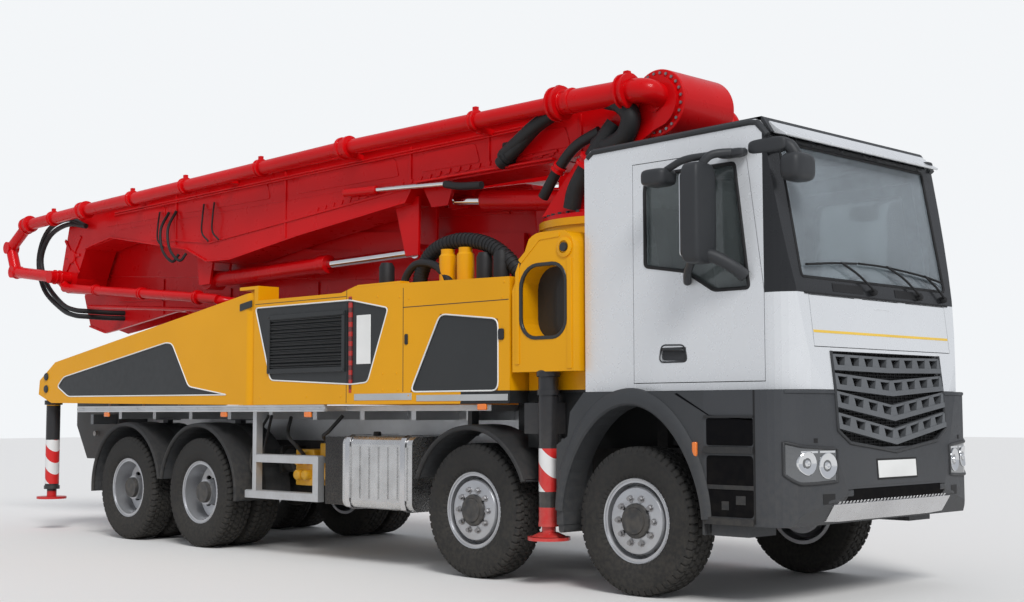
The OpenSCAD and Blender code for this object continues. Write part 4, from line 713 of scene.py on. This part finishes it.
# Doors: a handle in its dark recess, rubber round the window, and a tall mirror on two arms with a
# small kerb mirror beside it. The housings stand in place of the plain CAD mirrors.
window = [(4.86, 2.39), (5.23, 2.33), (5.48, 2.18), (5.78, 2.18), (5.67, 3.06), (4.95, 3.06), (4.875, 3.03),
          (4.86, 2.96)]
for side, s in sides:
    body = f"door_{side}"
    cup = prism(rounded([(4.995, 1.70), (5.225, 1.69), (5.20, 1.79), (5.02, 1.80)], 0.035),
                s * 1.1335, s * 1.1385)
    ring = bead(rounded([(4.985, 1.685), (5.24, 1.685), (5.215, 1.805), (5.005, 1.81)], 0.04), s * 1.149,
                0.006)
    outward = (1, s, 1)
    handle = tube(np.multiply([(5.015, 1.138, 1.775), (5.04, 1.155, 1.778), (5.17, 1.155, 1.772),
                               (5.205, 1.138, 1.765)], outward), 0.012, 10)
    piece(f"door_handle_{side}", [cup, ring, handle], dark_trim, body, crease=40)
    piece(f"window_gasket_{side}", [bead(rounded(window, 0.03), s * 1.147, 0.014, 10)], rubber_seal, body,
          crease=60)
    mirror = [pod((x, s * y, z), half, square)
              for x, y, z, half, square in ((5.52, 1.372, 2.70, (0.080, 0.122, 0.350), 0.32),
                                            (5.17, 1.37, 2.985, (0.11, 0.10, 0.062), 0.5),
                                            (5.69, 1.20, 3.118, (0.115, 0.045, 0.030), 0.5))]
    mirror += [tube(np.multiply(line, outward), radius, count)
               for radius, count, line in ((0.030, 12, [(5.74, 1.175, 3.115), (5.68, 1.24, 3.12),
                                                        (5.60, 1.33, 3.10), (5.54, 1.37, 3.03)]),
                                           (0.026, 12, [(5.60, 1.33, 3.10), (5.40, 1.36, 3.09),
                                                        (5.26, 1.37, 3.04), (5.20, 1.37, 3.01)]),
                                           (0.046, 14, [(5.76, 1.165, 2.26), (5.70, 1.24, 2.33),
                                                        (5.60, 1.32, 2.40), (5.50, 1.36, 2.42)]),
                                           (0.030, 12, [(5.50, 1.36, 2.42), (5.42, 1.32, 2.38),
                                                        (5.32, 1.24, 2.30), (5.26, 1.165, 2.25)]))]
    housing = piece(f"mirror_housing_{side}", mirror, dark_trim, body, crease=40)
    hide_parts(f"mirror_{side}")
    pane = prism(oblong((s * 1.275, 2.40), (s * 1.475, 2.98), 0.03), 5.434, 5.441, "x")
    piece(f"mirror_pane_{side}", [pane],
          surface(f"mirror_pane_{side}", (0.75, 0.77, 0.78), 0.04, metallic=1.0, dust=0.0), body)
fin = [prism([(y, 1.52), (y + 0.02, 1.50), (y + 0.028, 1.96), (y + 0.008, 2.02)], 5.99, 6.01, "x")
       for y in (1.155, 1.225)]
fin += [slab((5.985, 1.16, z), (6.012, 1.245, z + 0.02)) for z in (1.50, 1.60, 1.70, 1.80, 1.90, 1.99)]
piece("corner_fin", fin, door_silver, "root", 0.003)


def glass(name, tint, clear):
    """Tinted glass, clear to that share, with faint waviness."""
    made = surface(name, tint, 0.05, grain=(3, 0.01), dust=0.0)
    made.node_tree.nodes["Principled BSDF"].inputs["Transmission Weight"].default_value = clear
    return made


dress(glass("windscreen_glass", (0.46, 0.52, 0.56), 0.72), "windscreen")
dress(glass("door_glass", (0.30, 0.34, 0.34), 0.80), "door_glass_left", "door_glass_right")

# Bumper and grille: one dark grained moulding with the grille's four swept rows of ports, grey ridges over
# and under each row, headlamps with bright bowls, a blank plate, and a polished skid bar at the bottom.
bumper_plastic = surface("bumper_plastic", (0.050, 0.053, 0.058), 0.48, grain=(700, 0.25), mottle=(2, 0.07),
                         dust=0.05)
dress(bumper_plastic, "bumper")
rows = ((1.118, 0.120), (1.285, 0.100), (1.462, 0.045), (1.628, 0.010))
back_ys, port, pitch = np.linspace(-0.739, 0.739, 41), 0.088, 1.47 / 8
ridges = []
for foot, vee in rows:
    line = foot + vee * np.abs(back_ys) / 0.74
    ridges += [patch(back_ys, line - 0.024, line + 0.012, cab_half, 0.014, 0.055),
               patch(back_ys, line + port - 0.018, line + port, cab_half, 0.006, 0.050)]
    for k in range(9):
        y = -0.735 + k * pitch
        ys = np.clip(y + np.array([-0.050, -0.028, 0.028, 0.050]), -0.738, 0.738)
        line = foot + vee * np.abs(ys) / 0.74
        ridges.append(patch(ys, line + 0.006, line + (0.012, port - 0.01, port - 0.01, 0.012), cab_half,
                            0.010, 0.050))
grille_back = patch(back_ys, 1.081, 1.744, cab_half, -0.050, 0.02, 6)
mesh_bars = [patch(back_ys, z, z + 0.006, cab_half, -0.030, 0.012) for z in np.arange(1.10, 1.74, 0.022)]
mesh_bars += [patch([y, y + 0.006], 1.085, 1.74, cab_half, -0.028, 0.012)
              for y in np.arange(-0.72, 0.72, 0.060)]
back = piece("grille_back", [grille_back] + mesh_bars, rubber_seal, "root")
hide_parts("grille")
ridge_grey = surface("ridge_grey", (0.13, 0.137, 0.145), 0.36, metallic=0.2, grain=(600, 0.15), dust=0.02)
piece("grille_ridges", ridges, ridge_grey, "root", 0.004)
under = np.array([0.20, 0.31, 0.45, 0.60, 0.68, 0.741])
piece("grille_corners", both([patch(under, 1.079, np.interp(under, (0.31, 0.60, 0.742), (1.082, 1.115, 1.20)),
                                    bumper_half, 0.0, 0.05)]), bumper_plastic, "root")
frame_line = [(-0.742, 1.745), (-0.742, 1.20), (-0.60, 1.115), (0, 1.045), (0.60, 1.115), (0.742, 1.20),
              (0.742, 1.745)]
piece("grille_frame", [tube(on_front(dense(frame_line, 12), bumper_half, 0.0), 0.013, 8, 1)], dark_trim,
      "root", crease=60)
lamp_ys = np.concatenate([np.linspace(0.775, 1.10, 10),
                          0.99 + 0.26 * np.sin(np.radians(np.linspace(30, 56, 12)))])
share = np.linspace(0, 1, len(lamp_ys))
lamp_low = 0.848 + 0.035 * np.clip(0.3 - share, 0, 1) + 0.16 * np.clip(share - 0.45, 0, 1) ** 1.5
lamp_high = 1.075 + 0.05 * share
lens_look = surface("lamp_lens", (0.14, 0.145, 0.15), 0.10, metallic=0.6, coat=1.0, grain=(40, 0.1), dust=0.0)
covers = both([patch(lamp_ys, lamp_low, lamp_high, bumper_half, 0.003, 0.006, 6)])
piece("lamp_covers", covers, lens_look, "root")
dress(lens_look, "lamps")
rim = np.vstack([np.stack([lamp_ys, lamp_low], 1), np.stack([lamp_ys, lamp_high], 1)[::-1]])
piece("lamp_bezels", both([tube(on_front(rim, bumper_half, 0.002), 0.012, 8, 1, True)]), dark_trim, "root",
      crease=60)
chrome = surface("chrome", (0.80, 0.81, 0.82), 0.10, metallic=1.0, grain=(80, 0.01), dust=0.02)
rings = ((0, .009), (.16, .013), (.24, .011), (.30, .002), (.60, .004), (.88, .011), (.95, .013), (1, .010),
         (1, -.003), (0, -.003))
bowls = []
for centre, r in (((0.875, 0.965), 0.088), ((1.068, 0.985), 0.080)):
    bowls.append(skin(np.stack([on_front(around(centre, q * r, 36), bumper_half, out) for q, out in rings]),
                      wrap_v=True))
bowls += [patch(np.linspace(a, b, 8), 1.052, 1.066, bumper_half, 0.006, 0.006)
          for a, b in ((0.80, 0.95), (0.97, 1.12))]
piece("lamp_bowls", both(bowls), chrome, "root", crease=25)
plate = patch(np.linspace(-0.26, 0.26, 8), 0.865, 0.985, bumper_half, 0.006, 0.006)
piece("number_plate", [plate], line_white, "root", bevel=0.002)
piece("plate_frame", [patch(np.linspace(-0.275, 0.275, 8), 0.852, 0.998, bumper_half, 0.0025, 0.005)],
      rubber_seal, "root")
slot_line = [(-0.70, 0.665), (-0.68, 0.76), (-0.60, 0.815), (0.60, 0.815), (0.68, 0.76), (0.70, 0.665)]
piece("step_tube", [tube(on_front(dense(slot_line, 10), bumper_half, -0.0162), 0.017, 10, 1)], dark_trim,
      "root", crease=60)
ys = np.linspace(-0.80, 0.80, 33)
skid = patch(ys, 0.572 + 0.05 * np.clip(np.abs(ys) - 0.62, 0, 1), 0.700, bumper_half, 0.010, 0.02, 4)
piece("bumper_lip", both([patch(np.linspace(0.76, 1.2, 24), 1.452, 1.474, bumper_half, 0.008, 0.02)]),
      bumper_plastic, "root", 0.003)
teeth = [patch([y, y + 0.022], 0.698, 0.720, bumper_half, 0.004, 0.03) for y in np.arange(-0.74, 0.73, 0.045)]
piece("skid_bar", [skid] + teeth, steel, "root", 0.003)
corners = both([patch(np.linspace(0.80, 0.92, 6), 0.705, 0.775, bumper_half, 0.002, 0.004),
                patch(np.linspace(0.965, 1.0, 5), 1.12, cab_half, bumper_half, 0.003, 0.004)])
corners += both([slab((5.868, 1.2495, 0.575), (5.882, 1.2515, 1.475))])
piece("bumper_pockets", corners, rubber_seal, "root")
# Near-black sheets laid over the cab step recesses, the slot under the number plate and a thin strip below the
# door: painted shade standing in for the dark inside those hollows.
recess_shade_black = surface("recess_shade_black", (0.004, 0.004, 0.005), 0.8, dust=0.02, shine=0.05)
recess_shade_sheets = [prism(outline, 1.2495, 1.2515) for outline in
           (oblong((5.475, 1.10), (5.865, 1.285), 0.02), oblong((5.475, 0.615), (5.865, 1.03), 0.03),
            [(5.20, 1.455), (5.50, 1.30), (5.865, 1.27), (5.865, 1.278), (5.50, 1.308), (5.22, 1.462)])]
slot_shade_sheet = patch(np.linspace(-0.665, 0.665, 24), 0.702, 0.797, bumper_half, 0.0008, 0.004)
piece("step_recess_shade", both(recess_shade_sheets) + [slot_shade_sheet], recess_shade_black, "root")
steps = [slab((x, 0.93, z - 0.002), (x + 0.012, 1.215, z + 0.008)) for z in (0.900, 0.562)
         for x in np.arange(5.52, 5.79, 0.026)]
step_back = [slab((5.50, 0.895, 0.565), (5.795, 0.905, 1.43)),
             prism([(5.47, 1.20), (5.80, 1.14), (5.80, 1.42), (5.47, 1.42)], 1.19, 1.244)]
ledges = [slab((5.455, 1.245, z), (5.868, 1.245 + out, z + thick)) for z, thick, out in
          ((1.288, 0.016, 0.016), (1.045, 0.045, 0.024), (0.800, 0.030, 0.010), (0.560, 0.048, 0.024))]
ledges += [slab((x, 1.250, 1.092), (x + 0.010, 1.266, 1.096)) for x in np.arange(5.50, 5.83, 0.024)]
ledges += [slab((5.60, 1.250, 0.66), (5.66, 1.254, 0.72)), slab((5.72, 1.250, 0.70), (5.80, 1.254, 0.76))]
piece("cab_steps", both(steps + step_back + ledges), guard_plastic, "root", 0.002)

# Boom and turret: welded high-strength steel boxes in bright red gloss, carrying a red delivery line on
# short brackets with clamped couplings. Rams have black end caps and chromed rods.
boom_red = surface("boom_red", (0.58, 0.002, 0.004), 0.32, coat=0.10, shine=0.16, mottle=(0.7, 0.10),
                   grain=(25, 0.004), dust=0.0)
dress(boom_red, "turret", "arm_1", "arm_2", "arm_3", "arm_4", "arm_5", "luff_barrel")
dress(chrome, "luff_rod")


def sleeve(at, ahead, radius, half):
    """A clamped coupling round a pipe at a point: two lips and a groove turned about its direction."""
    at, ahead = np.asarray(at, float), np.asarray(ahead, float) / np.linalg.norm(ahead)
    stations = np.array([-1, -1, -0.92, -0.45, -0.40, 0.40, 0.45, 0.92, 1, 1]) * half
    radii = np.array([0, 0.86, 1.0, 1.0, 0.88, 0.88, 1.0, 1.0, 0.86, 0]) * radius
    side = np.cross(ahead, (0, 1, 0) if abs(ahead[1]) < 0.9 else (1, 0, 0))
    side /= np.linalg.norm(side)
    up = np.cross(side, ahead)
    t = np.linspace(0, 2 * math.pi, 28, endpoint=False)[None, :, None]
    grid = at + stations[:, None, None] * ahead + radii[:, None, None] * (np.cos(t) * side + np.sin(t) * up)
    return skin(grid, wrap_v=True)


pipe_y, knee_2, luff_pin = -0.60, np.array([-5.0, 0, 3.0]), np.array([4.42, 0, 3.78])
line_1 = upright([(4.33, 3.87), (3.60, 3.89), (0.70, 3.88), (-4.30, 3.76), (-5.70, 3.71), (-6.15, 3.45),
                  (-6.00, 3.13), (-5.00, 3.00)], pipe_y)
clamp_sizes = [(0.1075, 0.076)] * 4 + [(0.070, 0.030), (0.080, 0.05)]
clamps = [sleeve(line_1[k], line_1[k + 1] - line_1[k - 1], *size) for k, size in enumerate(clamp_sizes, 1)]
for x, z in ((2.5, 3.886), (-0.70, 3.846), (-2.1, 3.813), (-3.2, 3.786), (-5.05, 3.733)):
    clamps.append(sleeve((x, pipe_y, z), (1, 0, 0.012), 0.094, 0.035))
    clamps.append(slab((x - 0.022, pipe_y - 0.02, z + 0.085), (x + 0.022, pipe_y + 0.02, z + 0.125)))
clamps.append(sleeve(knee_2 + (0, -0.562, 0), (0, 1, 0), 0.090, 0.045))
piece("line_clamps", clamps, boom_red, "arm_1", 0.003, 35)

# Deep welded boxes close the space between the folded arms. Each rides its own arm and keeps to that
# arm's width, so that the arms still pass each other.
web_1 = [(3.40, 3.452), (1.47, 3.440), (1.36, 3.300), (-0.30, 3.130), (-1.50, 2.975), (-1.95, 2.985),
         (-2.35, 3.150), (-4.00, 3.425), (-3.80, 3.500), (3.40, 3.520)]
web_2 = [(-5.47, 2.82), (-5.30, 2.42), (-4.92, 2.33), (-4.62, 2.36), (-3.30, 2.52), (-3.10, 2.52),
         (-2.60, 2.29), (2.44, 2.20), (2.50, 2.56), (-4.70, 3.16), (-5.08, 3.20), (-5.38, 3.07)]
cheek_2 = [(-5.02, 3.05), (-4.95, 3.44), (-4.30, 3.44), (2.20, 2.74), (2.36, 2.52)]
web_3 = [(2.44, 2.72), (2.56, 2.74), (2.56, 2.93), (2.53, 3.00), (2.52, 3.32), (2.46, 3.41), (-4.20, 3.60),
         (-4.25, 3.50), (2.40, 2.94)]
piece("arm_1_box", [prism(web_1, -0.404, 0.022)], boom_red, "arm_1", 0.006)
core_2 = [(-5.47, 2.82), (-5.34, 2.60), (-4.92, 2.52), (-3.10, 2.66), (-2.60, 2.46), (2.44, 2.36)] + web_2[8:]
box_2 = [prism(outline, low, high) for outline, low, high in
         ((web_2, 0.074, 0.094), (core_2, 0.094, 0.386), (web_2, 0.386, 0.406), (cheek_2, 0.066, 0.084))]
piece("arm_2_box", box_2, boom_red, "arm_2", 0.006)
piece("arm_3_box", [prism(web_3, 0.137, 0.343)], boom_red, "arm_3", 0.006)


def strip(points, low, high, thick):
    """A flange of even thickness along a line in x and z, from low to high in y."""
    return [prism([(x0, z0 - thick), (x1, z1 - thick), (x1, z1 + thick), (x0, z0 + thick)], low, high)
            for (x0, z0), (x1, z1) in zip(points, points[1:])]


ribs = [turned([(0, -.425), (.075, -.425), (.085, -.415), (.085, -.398), (0, -.398)],
               (-4.92, 0, 3.26), "y", 28)]
for ends in (((-5.12, 3.02), (-4.72, 3.50)), ((-5.10, 3.48), (-4.74, 3.05)), ((-5.10, 3.27), (-4.74, 3.27))):
    a, b = np.array(ends)
    out = np.array([a[1] - b[1], b[0] - a[0]]) / np.linalg.norm(b - a) * 0.018
    ribs.append(prism([a - out, b - out, b + out, a + out], -0.414, -0.398))
ribs += strip([(4.30, 3.94), (3.90, 3.90), (-4.70, 3.77), (-5.0, 3.65)], -0.424, 0.034, 0.008)
ribs += strip([(3.38, 3.452)] + web_1[1:8] + [(-4.60, 3.335)], -0.428, 0.036, 0.009)
ribs += strip([(3.30, 3.545), (1.20, 3.420), (-1.90, 3.190), (-3.10, 3.330)], -0.416, -0.40, 0.012)
ribs += [prism(rounded([(a, 3.56), (b, 3.56), (b - 0.06, 3.74), (a + 0.06, 3.74)], 0.04), -0.407, -0.399)
         for a, b in ((2.75, 3.45), (1.55, 2.35), (-0.35, 1.25), (-2.4, -0.8), (-4.1, -2.8))]
ribs += [slab((x, -0.413, low), (x + 0.03, -0.398, 3.82)) for x, low in
         ((3.55, 3.47), (2.45, 3.46), (1.40, 3.40), (-0.55, 3.12), (-2.6, 3.22))]
for k in range(26):
    x = 3.20 - k * 0.13
    z = 3.50 - max(0.0, 1.9 - x) * 0.085
    ribs.append(prism([(x, z), (x + 0.055, z + 0.004), (x + 0.075, z + 0.052), (x + 0.02, z + 0.048)],
                      -0.4125, -0.40))
piece("arm_1_plates", ribs, boom_red, "arm_1", 0.003, 35)
webs = strip([(-5.30, 2.43), (-4.92, 2.335), (-4.62, 2.365), (-3.30, 2.525), (-3.10, 2.525), (-2.60, 2.295),
              (2.44, 2.205)], 0.055, 0.100, 0.010)
webs += (strip([(-4.6, 2.72), (2.3, 2.42)], 0.058, 0.075, 0.012)
         + strip([(-4.30, 3.43), (2.20, 2.735)], 0.050, 0.075, 0.009))
webs += [slab((x, 0.058, z), (x + 0.03, 0.076, z + 0.42))
         for x, z in ((-3.6, 2.50), (-2.2, 2.31), (-0.6, 2.28), (0.9, 2.25))]
webs.append(turned([(0, .045), (.14, .045), (.155, .055), (.155, .075), (0, .075)], knee_2, "y", 36))
low_line = [(-5.0, -0.53, 3.0), (-4.98, -0.490, 2.92), (-4.90, -0.477, 2.872), (-4.70, -0.475, 2.845),
            (-1.95, -0.455, 2.58), (-1.70, -0.43, 2.54), (-1.60, -0.30, 2.52), (-1.58, -0.10, 2.50),
            (-1.58, 0.10, 2.48)]
webs += [tube(low_line, 0.052, 20, 5), sleeve((-4.22, -0.467, 2.800), (1, 0, -0.1), 0.066, 0.03),
         sleeve((-3.2, -0.46, 2.70), (1, 0, -0.1), 0.070, 0.035),
         sleeve((-2.05, -0.456, 2.59), (1, 0, -0.1), 0.078, 0.03),
         tube([(-4.5, -0.40, 2.62), (-1.9, -0.40, 2.45)], 0.022, 10, 1)]
piece("arm_2_plates", webs, boom_red, "arm_2", 0.003, 35)
piece("arm_3_plates", strip([(2.42, 3.411), (-4.20, 3.60)], 0.122, 0.358, 0.008)
      + strip([(2.2, 3.173), (-3.9, 3.52)], 0.124, 0.139, 0.012), boom_red, "arm_3", 0.003, 35)

# Head of the boom: a bolted flange on each end of the luffing barrel, the thick first bend of the line
# with its couplings, and the line's way down on the left. Black hoses hang between turret and arm.
nose = [turned([(0, -.432), (.205, -.432), (.215, -.440), (.262, -.440), (.2695, -.434), (.2695, -.404),
                (0, -.404)], luff_pin, "y", 64),
        turned([(0, -.470), (.105, -.470), (.115, -.462), (.115, -.43), (0, -.43)], luff_pin, "y", 40),
        tube(upright([(3.50, 3.888), (4.30, 3.872)], pipe_y), 0.098, 28, 1),
        sleeve((3.50, pipe_y, 3.888), (1, 0, -0.02), 0.145, 0.05),
        sleeve((4.24, pipe_y, 3.874), (1, 0, -0.02), 0.145, 0.045),
        tube([(4.24, pipe_y, 3.874), (4.36, pipe_y, 3.866), (4.44, -0.57, 3.85), (4.46, -0.50, 3.83),
              (4.46, -0.42, 3.82)], 0.098, 24, 6)]
nose += [prism(oblong((x - 0.03, 3.98), (x + 0.03, 4.042), 0.015), y - 0.015, y + 0.015)
         for x, y in ((3.50, pipe_y), (4.24, pipe_y), (4.42, -0.418), (4.42, 0.188))]
piece("nose_flange", nose, boom_red, "arm_1", crease=28)
bolts = [prism(around(at, 0.013, 6), -0.452, -0.438) for at in around(luff_pin[[0, 2]], 0.238, 24, 0.13)]
piece("nose_bolts", bolts, nut_steel, "arm_1", crease=25)
down = [tube([(4.42, 0.24, 3.80), (4.42, 0.31, 3.80), (4.45, 0.36, 3.79), (4.52, 0.385, 3.72),
              (4.54, 0.385, 3.60), (4.48, 0.385, 3.50), (4.36, 0.38, 3.455), (4.10, 0.38, 3.44)],
             0.078, 22, 8),
        sleeve((4.42, 0.26, 3.80), (0, 1, 0), 0.110, 0.03),
        sleeve((4.54, 0.385, 3.64), (0.1, 0, -1), 0.100, 0.035),
        sleeve((4.30, 0.38, 3.45), (1, 0, 0), 0.100, 0.035)]
piece("turret_bend", down, boom_red, "turret", crease=35)
turret_hoses = [tube([(3.22, -0.50, 3.14), (3.42, -0.52, 3.36), (3.62, -0.53, 3.52), (3.86, -0.50, 3.62)],
                     0.046, 14),
                tube([(3.60, -0.56, 3.00), (3.66, -0.57, 3.16), (3.80, -0.56, 3.36), (3.95, -0.53, 3.56),
                      (4.02, -0.50, 3.66)], 0.072, 16)]
piece("turret_hoses", turret_hoses, hose_black, "turret", crease=60)
piece("turret_coupling", [sleeve((3.80, -0.56, 3.36), (0.6, 0.05, 0.8), 0.105, 0.05),
                          sleeve((3.42, -0.52, 3.36), (0.66, 0, 0.7), 0.062, 0.03)], boom_red, "turret",
      crease=35)
ring_bolts = [stud((x, y, -0.03), 0.016, 2.99, 3.012, 3.014, "z", 6) for x, y in around((3.58, 0), 0.585, 36)]
piece("slew_bolts", ring_bolts, hub_dark, "turret", crease=25)
bundle = [tube([(2.68 + d, y, 3.50 + d), (2.90 + d, y - .03, 3.60 + d), (3.16, y - .04, 3.76),
                (3.40, y - .02, 3.86)], 0.060, 16) for d, y in ((0, -0.47), (0.06, -0.49))]
bundle += [sleeve((2.76, -0.478, 3.545), (1, 0, 0.5), 0.078, 0.035),
           tube([(3.98, -0.54, 3.86), (4.14, -0.56, 3.80), (4.24, -0.56, 3.68), (4.18, -0.55, 3.54),
                 (4.02, -0.53, 3.48), (3.84, -0.51, 3.50)], 0.082, 18)]
knee_hoses = [tube([(-4.5, -0.46, 3.60), (-4.95, -0.46, 3.66 + d), (-5.40 - d, -0.455, 3.56 + d),
                    (-5.62 - d, -0.455, 3.28), (-5.45 - d, -0.460, 2.95 - d), (-5.05, -0.464, 2.68 - d),
                    (-4.76, -0.456, 2.59 - d), (-4.62, -0.36, 2.57 - d), (-4.54, -0.14, 2.56 - d),
                    (-4.48, 0.09, 2.56 - d)], 0.030, 12) for d in (0, 0.066)]
piece("knee_hoses", knee_hoses, hose_black, "arm_2", crease=60)
bundle += [tube([(x, -0.425, 3.60), (x - .05, -0.50, 3.40), (x + .02, -0.52, 3.16), (x + .16, -0.48, 3.02),
                 (x + .22, -0.43, 3.10)], 0.016, 8) for x in (-2.70, -2.55)]
bundle += [tube([(x, -0.425, 3.62), (x + .04, -0.47, 3.46), (x + .02, -0.46, 3.30), (x + .1, -0.43, 3.20)],
                0.010, 8) for x in (-2.9, -2.0, -1.8)]
bundle += [tube([(1.95, -0.452, 3.40), (2.15, -0.455, 3.36), (2.42, -0.45, 3.34)], 0.036, 12),
           prism(oblong((2.70, 3.50), (2.82, 3.68), 0.02), -0.47, -0.40)]
piece("boom_hoses", bundle, hose_black, "arm_1", crease=60)
thin = [tube(upright([(3.3, 3.47), (1.55, 3.462)], y), 0.011, 8, 1) for y in (-0.436, -0.462)]
thin += [tube(upright([(3.35, z), (-3.9, z - 0.10)], -0.416), 0.008, 8, 1) for z in (3.785, 3.81)]
piece("boom_lines", thin, boom_red, "arm_1", crease=60)
ram = [tube([(-2.10, -0.20, 2.80), (-0.10, -0.20, 2.83)], 0.082, 28, 1),
       tube([(-0.20, -0.20, 2.829), (-0.06, -0.20, 2.831)], 0.096, 28, 1),
       stud((-2.12, 0, 2.80), 0.11, -0.30, -0.10, -0.10, count=28),
       tube([(0.50, -0.452, 3.475), (0.98, -0.452, 3.455)], 0.040, 20, 1)]
for y in (-0.33, -0.10):
    ram += [prism([(-2.30, 3.20), (-1.95, 3.02), (-2.02, 2.74), (-2.22, 2.74)], y, y + 0.03),
            prism([(1.10, 3.32), (1.45, 3.36), (1.44, 2.80), (1.26, 2.80)], y, y + 0.03)]
piece("knee_ram", ram, boom_red, "arm_1", 0.004, 35)
rods = [tube([(-0.12, -0.20, 2.83), (1.35, -0.20, 2.85)], 0.046, 24, 1),
        tube([(0.96, -0.452, 3.456), (1.96, -0.452, 3.405)], 0.024, 20, 1),
        stud((1.35, 0, 2.85), 0.072, -0.29, -0.11, -0.11, count=28)]
piece("knee_rod", rods, chrome, "arm_1", crease=35)
